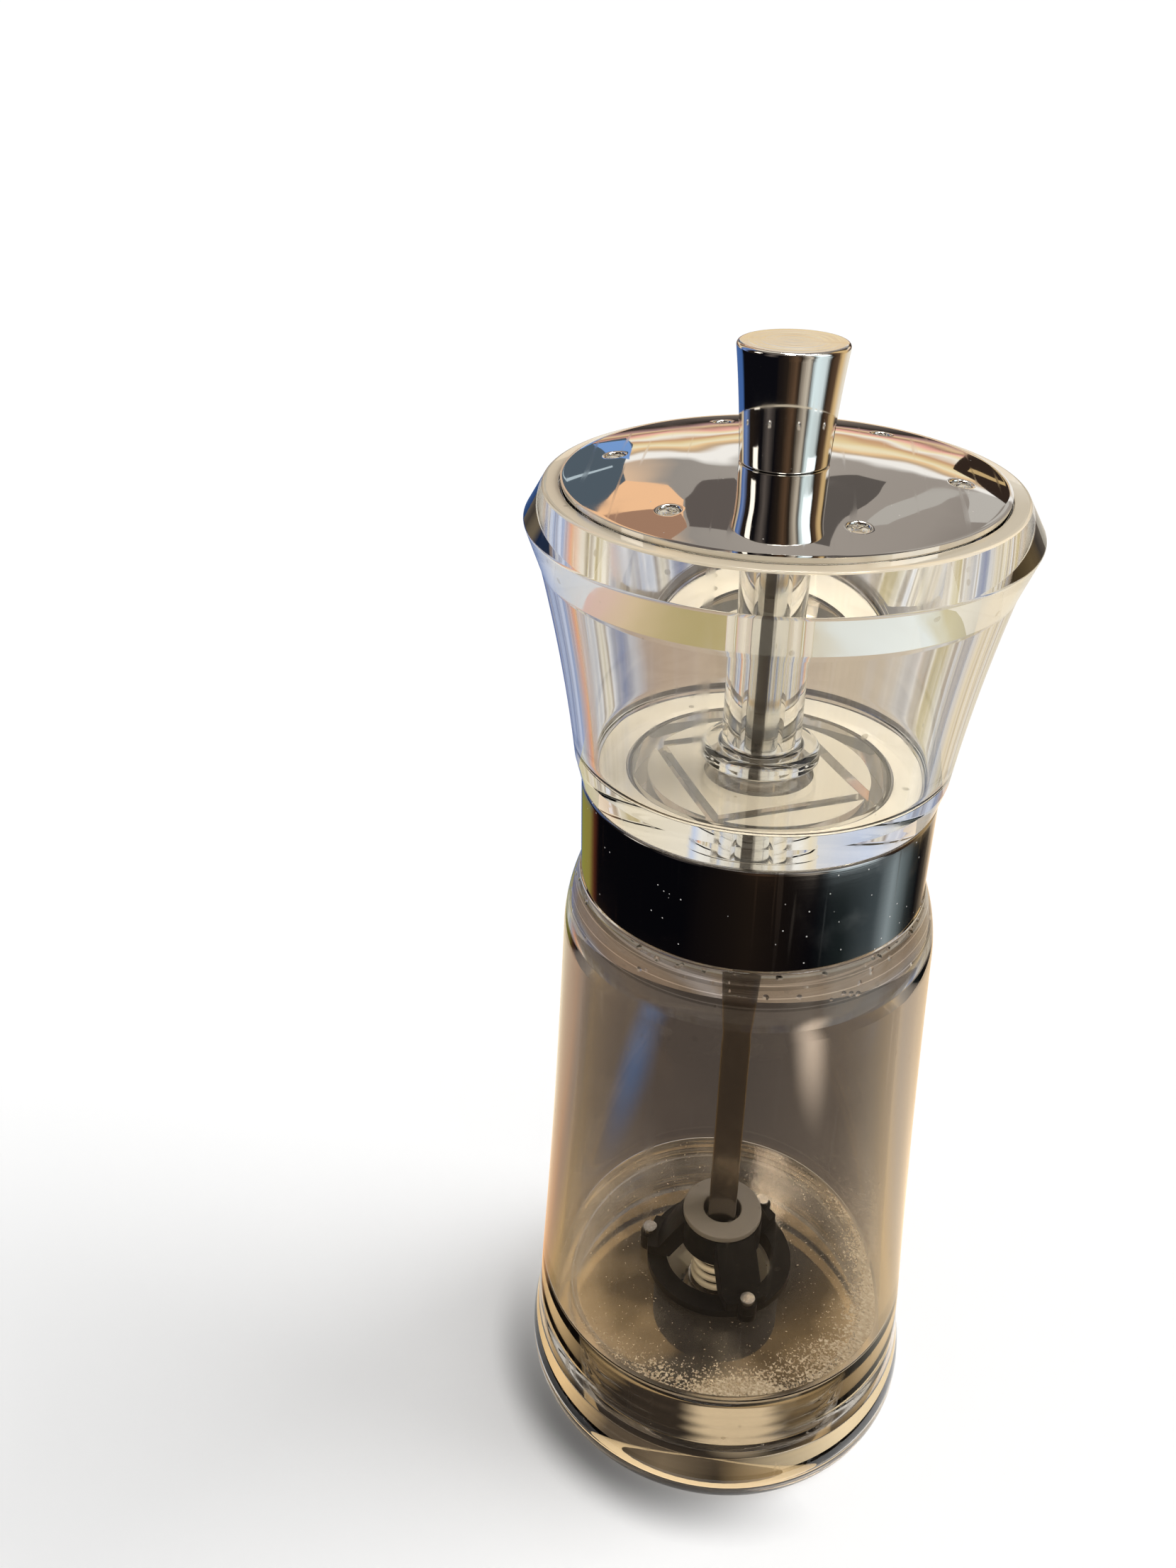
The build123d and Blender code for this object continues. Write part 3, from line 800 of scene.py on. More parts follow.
def handling_group():
    """Soft smudges from handling: a wide noise pulled into patches, from 0 clean to 1 smeared."""
    tree, given, out = new_group("handling smudges", "Mask", Scale=60.0, Cover=0.5)
    wide = noise(tree, object_place(tree), given["Scale"], 4.0, 0.6)
    start = maths(tree, "SUBTRACT", 1.0, given["Cover"])
    tree.links.new(spread(tree, wide, start, 0.85), out)
    return tree


def scratch_group():
    """Hair scratches: two noises stretched a long way in two directions and cut to their thin crests."""
    tree, given, out = new_group("hair scratches", "Mask", Scale=900.0, Amount=0.3)
    place = object_place(tree)
    crests = []
    for turn in ((0.3, 0.2, 0.9), (1.1, -0.4, 2.3)):
        way = put(tree, "Mapping", {"Vector": place, "Rotation": turn, "Scale": (1.0, 0.03, 0.03)})
        crests.append(spread(tree, noise(tree, way.outputs[0], given["Scale"], 1.0), 0.66, 0.72))
    both = maths(tree, "MAXIMUM", *crests)
    tree.links.new(maths(tree, "MULTIPLY", both, given["Amount"]), out)
    return tree


def speck_group():
    """Dust specks: small round spots at the points of a cell pattern, most of them left out at random."""
    tree, given, out = new_group("dust specks", "Mask", Scale=900.0, Size=0.12, Share=0.15)
    distance, chance = cells(tree, given["Scale"])
    spot = maths(tree, "LESS_THAN", distance, given["Size"])
    kept = maths(tree, "LESS_THAN", chance, given["Share"])
    tree.links.new(maths(tree, "MULTIPLY", spot, kept), out)
    return tree


def moulded_group():
    """The fine skin of a moulding: small even noise over a wide swell, for a bump's height."""
    tree, given, out = new_group("moulded skin", "Height", Scale=2500.0)
    place = object_place(tree)
    fine = noise(tree, place, given["Scale"], 3.0)
    wide = noise(tree, place, 120.0, 1.0)
    tree.links.new(maths(tree, "ADD", fine, wide), out)
    return tree


groups = {
    "smudges": handling_group(),
    "scratches": scratch_group(),
    "specks": speck_group(),
    "skin": moulded_group(),
}


def effect(tree, name, **values):
    """One of the shared effects, with its own values, as its output socket."""
    made = tree.nodes.new("ShaderNodeGroup")
    made.node_tree = groups[name]
    for socket, value in values.items():
        made.inputs[socket].default_value = value
    return made.outputs[0]


def new_material(name):
    """A bare material: its tree and its output's surface socket."""
    material = bpy.data.materials.new(name)
    material.use_nodes = True
    tree = material.node_tree
    tree.nodes.clear()
    return material, tree, put(tree, "OutputMaterial").inputs["Surface"]


def surface_shader(tree, sockets):
    """The shader of a surface, its sockets named with underscores for spaces."""
    return put(tree, "BsdfPrincipled", {name.replace("_", " "): value for name, value in sockets.items()})


def finished(material, surface, **sockets):
    """Ends an opaque material."""
    tree = material.node_tree
    tree.links.new(surface_shader(tree, sockets).outputs[0], surface)
    return material


def finished_clear(material, surface, shade, **sockets):
    """Ends a clear material. Lamps' rays pass it as a plain shade, so that what is inside is lit."""
    tree = material.node_tree
    glass = surface_shader(tree, {"IOR": acrylic_index, **sockets})
    tint = put(tree, "BsdfTransparent", {"Color": (*shade, 1)})
    is_shadow = put(tree, "LightPath").outputs["Is Shadow Ray"]
    both = put(tree, "MixShader", {0: is_shadow, 1: glass.outputs[0], 2: tint.outputs[0]})
    tree.links.new(both.outputs[0], surface)
    return material


def between_heights(tree, low, high):
    """1 between two heights in millimetres, and 0 outside them."""
    height = axes_of(tree, object_place(tree))[2]
    above = maths(tree, "GREATER_THAN", height, low * MM)
    below = maths(tree, "LESS_THAN", height, high * MM)
    return maths(tree, "MULTIPLY", above, below)


def blisters(tree, low, high):
    """Small round blisters between two heights: domes at the points of a cell pattern, some left out."""
    distance, chance = cells(tree, 620.0)
    dome = spread(tree, distance, 0.0, 0.26, 1.0, 0.0, interpolation_type="SMOOTHSTEP")
    kept = maths(tree, "LESS_THAN", chance, 0.8)
    shown = maths(tree, "MULTIPLY", kept, between_heights(tree, low, high))
    return maths(tree, "MULTIPLY", dome, shown)


def acrylic(name, tint, dull, shade, flow, flow_depth, clear=1.0, blisters_and_painted_light=None):
    """Clear plastic: bends light, with moulding flow in its surface, smudges, hair scratches and specks.

    Between two heights it may carry blisters. There, painted shade darkens the band in patches, and painted
    highlights whiten the blisters and thin lines round it.
    """
    material, tree, surface = new_material(name)
    smudge = effect(tree, "smudges", Scale=70.0, Cover=0.42)
    scratch = effect(tree, "scratches", Scale=700.0, Amount=0.5)
    speck = effect(tree, "specks", Scale=420.0, Size=0.16, Share=0.05)
    marks = maths(tree, "MAXIMUM", maths(tree, "MAXIMUM", smudge, scratch), speck)
    swell = noise(tree, stretched(tree, object_place(tree), (1.0, 1.0, 0.22)), flow, 1.0)
    normal = bumped(tree, swell, 0.3, flow_depth)
    tone = mixed(tree, speck, tint, dull)
    if blisters_and_painted_light:
        # Painted shade: the band with blisters is darkened in patches
        patchy = ranged(tree, effect(tree, "smudges", Scale=90.0, Cover=0.6), 0.95, 0.45)
        band = maths(tree, "MULTIPLY", between_heights(tree, *blisters_and_painted_light), patchy)
        tone = mixed(tree, band, tone, (0.3, 0.285, 0.27))
        drops = blisters(tree, *blisters_and_painted_light)
        # Painted highlights: the blisters and thin lines round the shoulder are painted white
        painted_highlights = drops
        for above in painted_light_lines:
            start = blisters_and_painted_light[0] + above
            line = between_heights(tree, start, start + painted_light_line_width)
            painted_highlights = maths(tree, "MAXIMUM", painted_highlights, line)
        tone = mixed(tree, painted_highlights, tone, (1.0, 1.0, 1.0))
        normal = bumped(tree, drops, 0.3, 0.3, normal)
    return finished_clear(
        material, surface, shade,
        Base_Color=tone, Roughness=ranged(tree, marks, 0.004, 0.16), Transmission_Weight=clear, Normal=normal,
    )


def dust_and_painted_light_acrylic(name):
    """The floor's top: clear plastic dulled by ground pepper in soft patches, with painted shade round the
    grinder and along the middle from front to back, and painted light towards the left and right sides.
    """
    material, tree, surface = new_material(name)
    place = object_place(tree)
    fine = noise(tree, place, 1800.0, 3.0, 0.7)
    wide = noise(tree, place, 85.0, 2.0)
    # Painted shade round the grinder and along the middle from front to back, and painted light towards the
    # left and right sides
    outer = spread(tree, from_axis(tree, place), 12 * MM, 22 * MM)
    aside = maths(tree, "ABSOLUTE", axes_of(tree, place)[0])
    aside = spread(tree, aside, 0.0, 22 * MM, 0.02, 1.0)
    lit = maths(tree, "MULTIPLY", outer, aside)
    lit = maths(tree, "ADD", lit, spread(tree, wide, 0.35, 0.65, -0.42, 0.2))
    pale = maths(tree, "MULTIPLY_ADD", fine, 0.12, lit, use_clamp=True)
    return finished_clear(
        material, surface, (0.74, 0.73, 0.72),
        Base_Color=mixed(tree, pale, (0.10, 0.085, 0.068), (0.9, 0.77, 0.58)),
        Roughness=ranged(tree, pale, 0.04, 0.22),
        Transmission_Weight=0.7,
        Normal=bumped(tree, fine, 0.08, 0.04),
    )


def pepper_dust(name):
    """Ground pepper: pale and dark grains, opaque where a fine noise passes a bound.

    The bound falls towards the rim and towards the right front, where the dust has drifted.
    """
    material, tree, surface = new_material(name)
    place = object_place(tree)
    grain = noise(tree, place, 2600.0, 2.0, 0.7)
    drift = noise(tree, place, 170.0, 3.0)
    rim = spread(tree, from_axis(tree, place), 16.5 * MM, 23.5 * MM)
    corner = vectors(tree, "DOT_PRODUCT", place, (0.75, -0.66, 0.0))
    side = spread(tree, corner, -8 * MM, 20 * MM)
    heap = maths(tree, "MULTIPLY", drift, maths(tree, "MULTIPLY", rim, side))
    bound = spread(tree, heap, 0.0, 0.5, 0.72, 0.40)
    shade = ranged(tree, noise(tree, place, 3400.0, 1.0), -0.6, 1.6)
    return finished(
        material, surface,
        Base_Color=mixed(tree, shade, (0.42, 0.31, 0.19), (1.0, 0.88, 0.66)),
        Roughness=1.0,
        Specular_IOR_Level=0.1,
        Alpha=maths(tree, "GREATER_THAN", grain, bound),
    )


def lines_up(tree, count, stretch, end):
    """Fine lines up a turned piece's side, and rings on its end, above a height in millimetres.

    The lines are noise of the direction from the axis, with the height squeezed. The rings change with the
    distance from the axis.
    """
    place = object_place(tree)
    x, y, z = axes_of(tree, place)
    reach = put(tree, "CombineXYZ", {0: from_axis(tree, place)}).outputs[0]
    on_end = maths(tree, "MULTIPLY", maths(tree, "GREATER_THAN", z, end * MM), 14.0)
    rings = maths(tree, "MULTIPLY", noise(tree, reach, 1900.0, 2.0), on_end)
    flat = put(tree, "CombineXYZ", {0: x, 1: y}).outputs[0]
    way = scaled(tree, vectors(tree, "NORMALIZE", flat), count)
    lift = put(tree, "CombineXYZ", {2: maths(tree, "MULTIPLY", z, stretch)}).outputs[0]
    sides = noise(tree, vectors(tree, "ADD", way, lift), 1.0, 3.0)
    return maths(tree, "ADD", sides, rings)


def lines_round(tree, scale):
    """Fine lines that run round a turned piece: noise of the height, with the other ways squeezed."""
    return noise(tree, stretched(tree, object_place(tree), (0.02, 0.02, 1.0)), scale, 4.0)


def chrome_plate(name, lines, colour, dull, low, high, wave, specked, raw_inside=0.0):
    """Bright plating: mirror metal with fine turning lines, smudges, hair scratches and specks of dust.

    Within the raw radius, if there is one, the metal is left pale and satin.
    """
    material, tree, surface = new_material(name)
    smudge = effect(tree, "smudges", Scale=120.0, Cover=0.45)
    scratch = effect(tree, "scratches", Scale=1100.0, Amount=0.7)
    speck = effect(tree, "specks", Scale=1500.0, Size=0.13, Share=specked)
    place = object_place(tree)
    pressed = bumped(tree, noise(tree, place, 75.0, 1.0), wave, 0.4)
    tone = mixed(tree, speck, colour, dull)
    rough = ranged(tree, maths(tree, "MAXIMUM", smudge, scratch), low, high)
    if raw_inside:
        inside = maths(tree, "LESS_THAN", from_axis(tree, place), raw_inside * MM)
        tone = mixed(tree, inside, tone, (0.9, 0.87, 0.8))
        rough = ranged(tree, inside, rough, 0.42)
    return finished(
        material, surface,
        Base_Color=tone,
        Metallic=ranged(tree, speck, 1.0, 0.0),
        Roughness=rough,
        Normal=bumped(tree, lines(tree), 0.12, 0.02, pressed),
    )


def moulded_plastic(name, colour, worn, low, high, scale):
    """Opaque moulding: fine skin, slight colour drift and pale rubbed specks."""
    material, tree, surface = new_material(name)
    smudge = effect(tree, "smudges", Scale=260.0, Cover=0.5)
    speck = effect(tree, "specks", Scale=1500.0, Size=0.2, Share=0.12)
    marks = maths(tree, "MAXIMUM", maths(tree, "MULTIPLY", smudge, 0.35), speck)
    return finished(
        material, surface,
        Base_Color=mixed(tree, marks, colour, worn),
        Roughness=ranged(tree, smudge, low, high),
        Specular_IOR_Level=0.14,
        Normal=bumped(tree, effect(tree, "skin", Scale=scale), 0.25, 0.05),
    )


def drawn_steel(name, colour, dull, low, high, metallic=1.0):
    """Drawn bar and wire: lines along the piece, dark drift and a satin gloss."""
    material, tree, surface = new_material(name)
    streak = noise(tree, stretched(tree, object_place(tree), (1.0, 1.0, 0.02)), 2600.0, 4.0)
    drift = effect(tree, "smudges", Scale=180.0, Cover=0.55)
    return finished(
        material, surface,
        Base_Color=mixed(tree, drift, colour, dull),
        Metallic=metallic,
        Roughness=ranged(tree, streak, low, high),
        Normal=bumped(tree, streak, 0.25, 0.02),
    )


def bar_with_painted_reflections(name, bright, dark, dull, from_height):
    """A bar of polished metal: painted reflections as bright and dark lines along it above a height in
    millimetres, and dull below.
    """
    material, tree, surface = new_material(name)
    place = object_place(tree)
    grain = noise(tree, stretched(tree, place, (1.0, 1.0, 0.006)), 1000.0, 2.0)
    # Painted reflections: bright and dark lines along the bar
    painted_reflections = mixed(tree, spread(tree, grain, 0.46, 0.55), dark, bright)
    upper = maths(tree, "GREATER_THAN", axes_of(tree, place)[2], from_height * MM)
    drift = effect(tree, "smudges", Scale=180.0, Cover=0.55)
    return finished(
        material, surface,
        Base_Color=mixed(tree, upper, dull, painted_reflections),
        Metallic=1.0,
        Roughness=ranged(tree, drift, 0.10, 0.28),
        Normal=bumped(tree, grain, 0.25, 0.03),
    )


clear_dull, clear_shade = (0.7, 0.66, 0.58), (0.98, 0.97, 0.95)
materials = {
    "clear_acrylic": acrylic("clear acrylic", (0.985, 0.975, 0.95), clear_dull, clear_shade, 160.0, 0.04),
    # The smoky body's shoulder band carries painted shade and painted highlights
    "smoky_acrylic": acrylic(
        "smoky acrylic", (0.80, 0.765, 0.73), (0.6, 0.56, 0.52), (0.64, 0.64, 0.64), 70.0, 0.012,
        blisters_and_painted_light=(84.4, 88.6),
    ),
    # Cream haze on clear plastic, full and in part: painted light for the brightness seen in the clear pieces
    "painted_light_haze": acrylic(
        "painted light haze acrylic", (1.0, 0.93, 0.80), clear_dull, clear_shade, 160.0, 0.03, clear=0.15,
    ),
    "half_painted_light_haze": acrylic(
        "half painted light haze acrylic", (1.0, 0.95, 0.85), clear_dull, clear_shade, 160.0, 0.03, clear=0.88,
    ),
    # Painted sheen: a warm pale tint for a golden sheen and a bright edge line
    "painted_sheen_lip": acrylic(
        "painted sheen lip", (1.0, 0.87, 0.66), (0.7, 0.6, 0.45), (0.98, 0.95, 0.9), 160.0, 0.05, clear=0.35,
    ),
    "dust_and_painted_light_acrylic": dust_and_painted_light_acrylic("dust and painted light acrylic"),
    "pepper_dust": pepper_dust("pepper dust"),
    "chrome_knob": chrome_plate(
        "chrome of the knob", lambda tree: lines_up(tree, 60.0, 30.0, cap_top + knob_height - 0.1),
        (0.86, 0.85, 0.83), (0.5, 0.48, 0.45), low=0.03, high=0.16, wave=0.10, specked=0.02,
    ),
    "chrome_cap": chrome_plate(
        "chrome of the cap", lambda tree: lines_round(tree, 900.0),
        (0.84, 0.83, 0.81), (0.6, 0.56, 0.5), low=0.025, high=0.14, wave=0.45, specked=0.012,
    ),
    "bright_band": chrome_plate(
        "bright band", lambda tree: lines_round(tree, 2600.0),
        (0.42, 0.41, 0.41), (0.75, 0.73, 0.7), low=0.09, high=0.26, wave=0.10, specked=0.09, raw_inside=20.4,
    ),
    "black_plastic": moulded_plastic(
        "black plastic", (0.005, 0.005, 0.005), (0.035, 0.03, 0.025), 0.34, 0.55, 2600.0,
    ),
    "grey_nylon": moulded_plastic(
        "grey nylon", (0.24, 0.215, 0.18), (0.17, 0.15, 0.125), 0.45, 0.6, 2200.0,
    ),
    "ceramic": moulded_plastic("ceramic", (0.78, 0.73, 0.62), (0.45, 0.36, 0.25), 0.5, 0.7, 3200.0),
    "spring_steel": drawn_steel("spring steel", (1.0, 0.9, 0.7), (0.85, 0.72, 0.5), 0.3, 0.5, 0.3),
    # The shaft's finish carries painted reflections
    "bar_with_painted_reflections": bar_with_painted_reflections(
        "bar with painted reflections", (0.95, 0.97, 0.98), (0.05, 0.045, 0.04), (0.26, 0.235, 0.21), neck_top,
    ),
    "steel": drawn_steel("drawn steel", (0.56, 0.54, 0.51), (0.3, 0.28, 0.26), 0.14, 0.34),
}


# Pieces

bodies = frame["record"]["behaviour"]["bodies"]
body_of_node = {node: body for body, nodes in bodies.items() for node in nodes}

# Rise of a normal beyond which a face counts as level
flat_face = 0.9


def dress(piece, node, finish):
    """Gives a piece its finish, hides the CAD node that it stands for, and puts it on that node's body,
    except for the spring.
    """
    piece.data.materials.append(materials[finish])
    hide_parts(node)
    if node != "burr_spring":
        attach(piece, body_of_node[node])
    return piece


def refinish(piece, finish, chosen):
    """Gives one more finish to the faces that a test of their height and of their normal's rise picks."""
    piece.data.materials.append(materials[finish])
    for face in piece.data.polygons:
        if chosen(face.center.z / MM, face.normal.z):
            face.material_index = len(piece.data.materials) - 1


clear_body = dress(turned("clear_body", body_path()), "pepper_chamber", "smoky_acrylic")
# The neck's top gets the cream haze of painted light
refinish(clear_body, "painted_light_haze", lambda height, rise: height > neck_top - 0.05 and rise > flat_face)
dress(turned("bright_band", band_path()), "neck_band", "bright_band")
threaded_floor = dress(skin("threaded_floor", floor_rings()), "mill_floor", "clear_acrylic")
# The floor's top: ground pepper with painted light and painted shade
refinish(
    threaded_floor, "dust_and_painted_light_acrylic",
    lambda height, rise: height > floor_height - 0.1 and rise > flat_face,
)
# The floor's rounded top edge gets a painted sheen, as a bright line
refinish(
    threaded_floor, "painted_sheen_lip",
    lambda height, rise: height > floor_height - 0.6 and 0.1 < rise < flat_face,
)

dust_inner, dust_outer = 11.4, 23.4
dust_low, dust_high = floor_height + 0.01, floor_height + 0.06
dust = turned("pepper_dust", straight(
    (dust_inner, dust_low), (dust_outer, dust_low), (dust_outer, dust_high), (dust_inner, dust_high),
))
dust.data.materials.append(materials["pepper_dust"])
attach(dust, "mill_body")

clear_head = dress(turned("clear_head", head_path()), "salt_chamber", "clear_acrylic")
# The head's top lip gets a painted golden sheen
refinish(clear_head, "painted_sheen_lip", lambda height, rise: height > head_top - 0.4 and rise > 0.5)
dress(turned("clear_tube", tube_path(), around=128), "shaft_tube", "clear_acrylic")
dress(turned("turned_knob", knob_path(), around=160, closed=False), "knob", "chrome_knob")
dress(cap_piece("pierced_cap"), "salt_cap", "chrome_cap")
dress(skin("square_shaft", shaft_rings(), closed=False), "shaft", "bar_with_painted_reflections")

eased = {}
for node, name, width, finish in (
    ("drive_plug", "ribbed_plug", 0.15, "clear_acrylic"),
    ("grinder_housing", "eared_housing", 0.2, "black_plastic"),
    ("bridge", "three_arm_bridge", 0.25, "black_plastic"),
    ("bridge_screws", "ear_screws", 0.12, "steel"),
    ("shaft_bush", "flanged_bush", 0.2, "grey_nylon"),
    ("stator_burr", "fixed_burr", 0.04, "ceramic"),
    ("burr_retainer", "retaining_ring", 0.12, "black_plastic"),
    ("thrust_washer", "upper_washer", 0.08, "steel"),
    ("spring_seat", "lower_washer", 0.08, "steel"),
    ("rotor_burr", "turning_burr", 0.04, "ceramic"),
    ("lock_washer", "end_washer", 0.08, "steel"),
    ("lock_nut", "end_nut", 0.15, "steel"),
):
    eased[node] = dress(eased_copy(node, name, width), node, finish)

plug = eased["drive_plug"]
# The plug's undersides get the cream haze of painted light: full on the web, and in part below it
refinish(plug, "painted_light_haze", lambda height, rise: abs(height - plug_web_under) < 0.1 and rise < -flat_face)
refinish(plug, "half_painted_light_haze", lambda height, rise: height < plug_web_under - 0.1 and rise < -flat_face)

spring = dress(spring_piece("coil_spring"), "burr_spring", "spring_steel")
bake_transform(spring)


# Stage: floor, lamps, cards round the set for the metal to mirror, and the camera

# Floor, wall, and how far cards stand inside the wall and the ceiling
stage_level = -0.05
stage_half = 60000.0
wall_height = 1100.0
wall_radius = 900.0
card_inset = 20.0

# Levels of the cards by the ground: mirrored ones, streaks, and those seen through the clear pieces
mirrored_ground = 0.4
streak_level = 0.35
seen_ground = 0.3
foot_ground = -0.02


def looked_at(tree):
    """1 for rays of the eye, straight or sent on by metal or glass, and 0 for the rest."""
    path = put(tree, "LightPath").outputs
    seen = maths(tree, "MAXIMUM", path["Is Camera Ray"], path["Is Glossy Ray"])
    return maths(tree, "MAXIMUM", seen, path["Is Transmission Ray"])


def floor_material():
    """A pale floor that takes shadows. To the eye, and in metal and glass, a little glow brings it to white.

    Close to the foot a shadow is painted into its colour, darkest on the side away from the lamp, and there
    the glow fades out.
    """
    material, tree, surface = new_material("pale floor")
    place = object_place(tree)
    reach = vectors(tree, "LENGTH", place)
    close = spread(tree, reach, 28 * MM, 36 * MM, 1.0, 0.0, interpolation_type="SMOOTHSTEP")
    away = vectors(tree, "DOT_PRODUCT", place, (-0.6, -0.8, 0.0))
    # Painted shadow: the floor's colour darkens close to the foot, on the side away from the lamp
    shaded = maths(tree, "MULTIPLY", close, spread(tree, away, 12 * MM, 30 * MM))
    return finished(
        material, surface,
        Base_Color=mixed(tree, shaded, (0.9, 0.9, 0.9), (0.2, 0.2, 0.2)),
        Roughness=1.0,
        Specular_IOR_Level=0.0,
        Emission_Color=(1, 1, 1, 1),
        Emission_Strength=maths(tree, "MULTIPLY", looked_at(tree), ranged(tree, shaded, 0.12, 0.0)),
    )


def ramp(tree, value, stops):
    """A colour that runs through stops of (place from 0 to 1, colour) by a value."""
    made = put(tree, "ValToRGB", {0: value})
    steps = made.color_ramp.elements
    for step, (place, colour) in zip(steps, (stops[0], stops[-1])):
        step.position = place
        step.color = (*colour, 1)
    for place, colour in stops[1:-1]:
        steps.new(place).color = (*colour, 1)
    return made.outputs[0]


def by_bearing(stops):
    """Stops of a bearing ramp, given in degrees from the viewer's side."""
    return [((degrees + 180) / 360, colour) for degrees, colour in stops]


def by_height(stops):
    """Stops of a height ramp, given in millimetres up a wall."""
    return [(height / wall_height, colour) for height, colour in stops]


def both_sides(*stops):
    """Bearing stops given for the right side, with the same on the left."""
    return [(-degrees, colour) for degrees, colour in reversed(stops) if degrees] + list(stops)


def wandering(tree, place, amount, scale):
    """A place with a slow wander added, so that painted borders don't run dead straight."""
    drift = put(tree, "TexNoise", {"Vector": place, "Scale": scale, "Detail": 3.0}).outputs["Color"]
    centred = vectors(tree, "SUBTRACT", drift, (0.5, 0.5, 0.5))
    return vectors(tree, "ADD", place, scaled(tree, centred, amount))


def bearing(tree, place):
    """The bearing of a place round the axis, from 0 to 1 with the viewer's side at a half."""
    axes = axes_of(tree, place)
    angle = maths(tree, "ARCTAN2", axes[0], maths(tree, "MULTIPLY", axes[1], -1.0))
    return maths(tree, "MULTIPLY_ADD", angle, 0.5 / math.pi, 0.5)


def cluttered(tree, tone, place, amount):
    """A tone crossed by upright streaks of other colours, which change quickly round the axis."""
    way = vectors(tree, "NORMALIZE", flattened(tree, place))
    colours = ramp(tree, noise(tree, way, 5.0, 2.0), [
        (0.30, (0.05, 0.12, 0.36)), (0.40, (0.30, 0.36, 0.5)), (0.45, (0.9, 0.93, 1.0)),
        (0.49, (0.35, 0.28, 0.2)), (0.53, (0.95, 0.9, 0.78)), (0.58, (0.55, 0.45, 0.2)),
        (0.64, (0.12, 0.08, 0.06)), (0.72, (0.9, 0.7, 0.5)),
    ])
    where = noise(tree, vectors(tree, "ADD", way, (3.1, 1.7, 0.4)), 4.0, 3.0)
    return mixed(tree, spread(tree, where, 0.4, 0.55, 0.0, amount), tone, colours)


def glowing(material, surface, colour, strength=1.0):
    """Ends a card's paint as a plain glow."""
    glow = put(material.node_tree, "Emission", {"Color": colour, "Strength": strength})
    material.node_tree.links.new(glow.outputs[0], surface)
    return material


def plain_glow(name, colour, strength=1.0):
    """A card's paint of one colour."""
    material, _, surface = new_material(name)
    return glowing(material, surface, (*colour, 1), strength)


def painted_by_bearing(name, stops, wander=0.05, clutter=0.0):
    """A card's paint that changes round the axis."""
    material, tree, surface = new_material(name)
    place = wandering(tree, object_place(tree), wander, 9.0)
    tone = ramp(tree, bearing(tree, place), by_bearing(stops))
    if clutter:
        tone = cluttered(tree, tone, place, clutter)
    return glowing(material, surface, tone)


def painted_wall(name, round_stops, back_stops, back_high_stops):
    """The wall's paint: tones round the axis, and at the back bands by height with other tones above."""
    material, tree, surface = new_material(name)
    place = wandering(tree, object_place(tree), 0.12, 5.0)
    turn = bearing(tree, place)
    rise = maths(tree, "MULTIPLY", axes_of(tree, place)[2], 1 / (wall_height * MM))
    low_bands = ramp(tree, rise, by_height(back_stops))
    high_tones = ramp(tree, turn, by_bearing(back_high_stops))
    above = spread(tree, rise, 402 / wall_height, 418 / wall_height)
    back = mixed(tree, above, low_bands, high_tones)
    aside = maths(tree, "ABSOLUTE", maths(tree, "SUBTRACT", turn, 0.5))
    tone = mixed(tree, spread(tree, aside, 0.36, 0.39), ramp(tree, turn, by_bearing(round_stops)), back)
    return glowing(material, surface, tone)


def show_card(made, paint, mirrored, seen_through):
    """Paints a card and shows it only to mirrored or to bent rays."""
    made.data.materials.append(paint)
    made.visible_camera = False
    made.visible_diffuse = False
    made.visible_shadow = False
    made.visible_glossy = mirrored
    made.visible_transmission = seen_through


def ring_card(name, inner, outer, low, high, paint, mirrored=True, seen_through=True):
    """A card all round the axis between two radii and two heights."""
    around = 96
    rings = turned_rings(np.array([(inner, low), (outer, high)]), around)
    table = np.arange(2 * around).reshape(2, around)
    made = new_piece(name, rings.reshape(-1, 3), grid_quads(np.c_[table, table[:, :1]]).tolist())
    show_card(made, paint, mirrored, seen_through)


def ground_card(name, inner, outer, height, stops, wander=0.05, clutter=0.0, mirrored=False):
    """A level card by the ground, painted by bearing, for bent rays or else for mirrored ones."""
    paint = painted_by_bearing(name, stops, wander, clutter)
    ring_card(name, inner, outer, height, height, paint, mirrored, not mirrored)


def round_axis(degrees, radius, height):
    """The point at a bearing from the viewer's side, a radius and a height."""
    turn = math.radians(degrees)
    return radius * math.sin(turn), -radius * math.cos(turn), height


def panel(name, points, paint, mirrored=True):
    """A flat card through points in millimetres, met only by mirrored rays, or else only by bent rays."""
    made = new_piece(name, points, [list(range(len(points)))])
    show_card(made, paint, mirrored, not mirrored)


def back_panel(name, colour, *corners, nearer=0):
    """A panel just inside the back wall from corners of (bearing, height), for the cap to mirror."""
    radius = wall_radius - card_inset - nearer
    points = [round_axis(degrees, radius, height) for degrees, height in corners]
    panel(name, points, plain_glow(name, colour))


def strip(name, first, last, near, far, colour, strength):
    """A strong lit strip overhead between two bearings and two radii, met only by rounded edges and lips."""
    corners = ((first, near), (last, near), (last, far), (first, far))
    points = [round_axis(degrees, radius, wall_height - card_inset) for degrees, radius in corners]
    panel(name, points, plain_glow(name, colour, strength))


def window_panel(name, first, last, low, high, colour, strength, mirrored=True):
    """A strong lit window on the wall between two bearings and two heights."""
    corners = ((first, low), (last, low), (last, high), (first, high))
    points = [round_axis(degrees, wall_radius - card_inset, height) for degrees, height in corners]
    panel(name, points, plain_glow(name, colour, strength), mirrored)


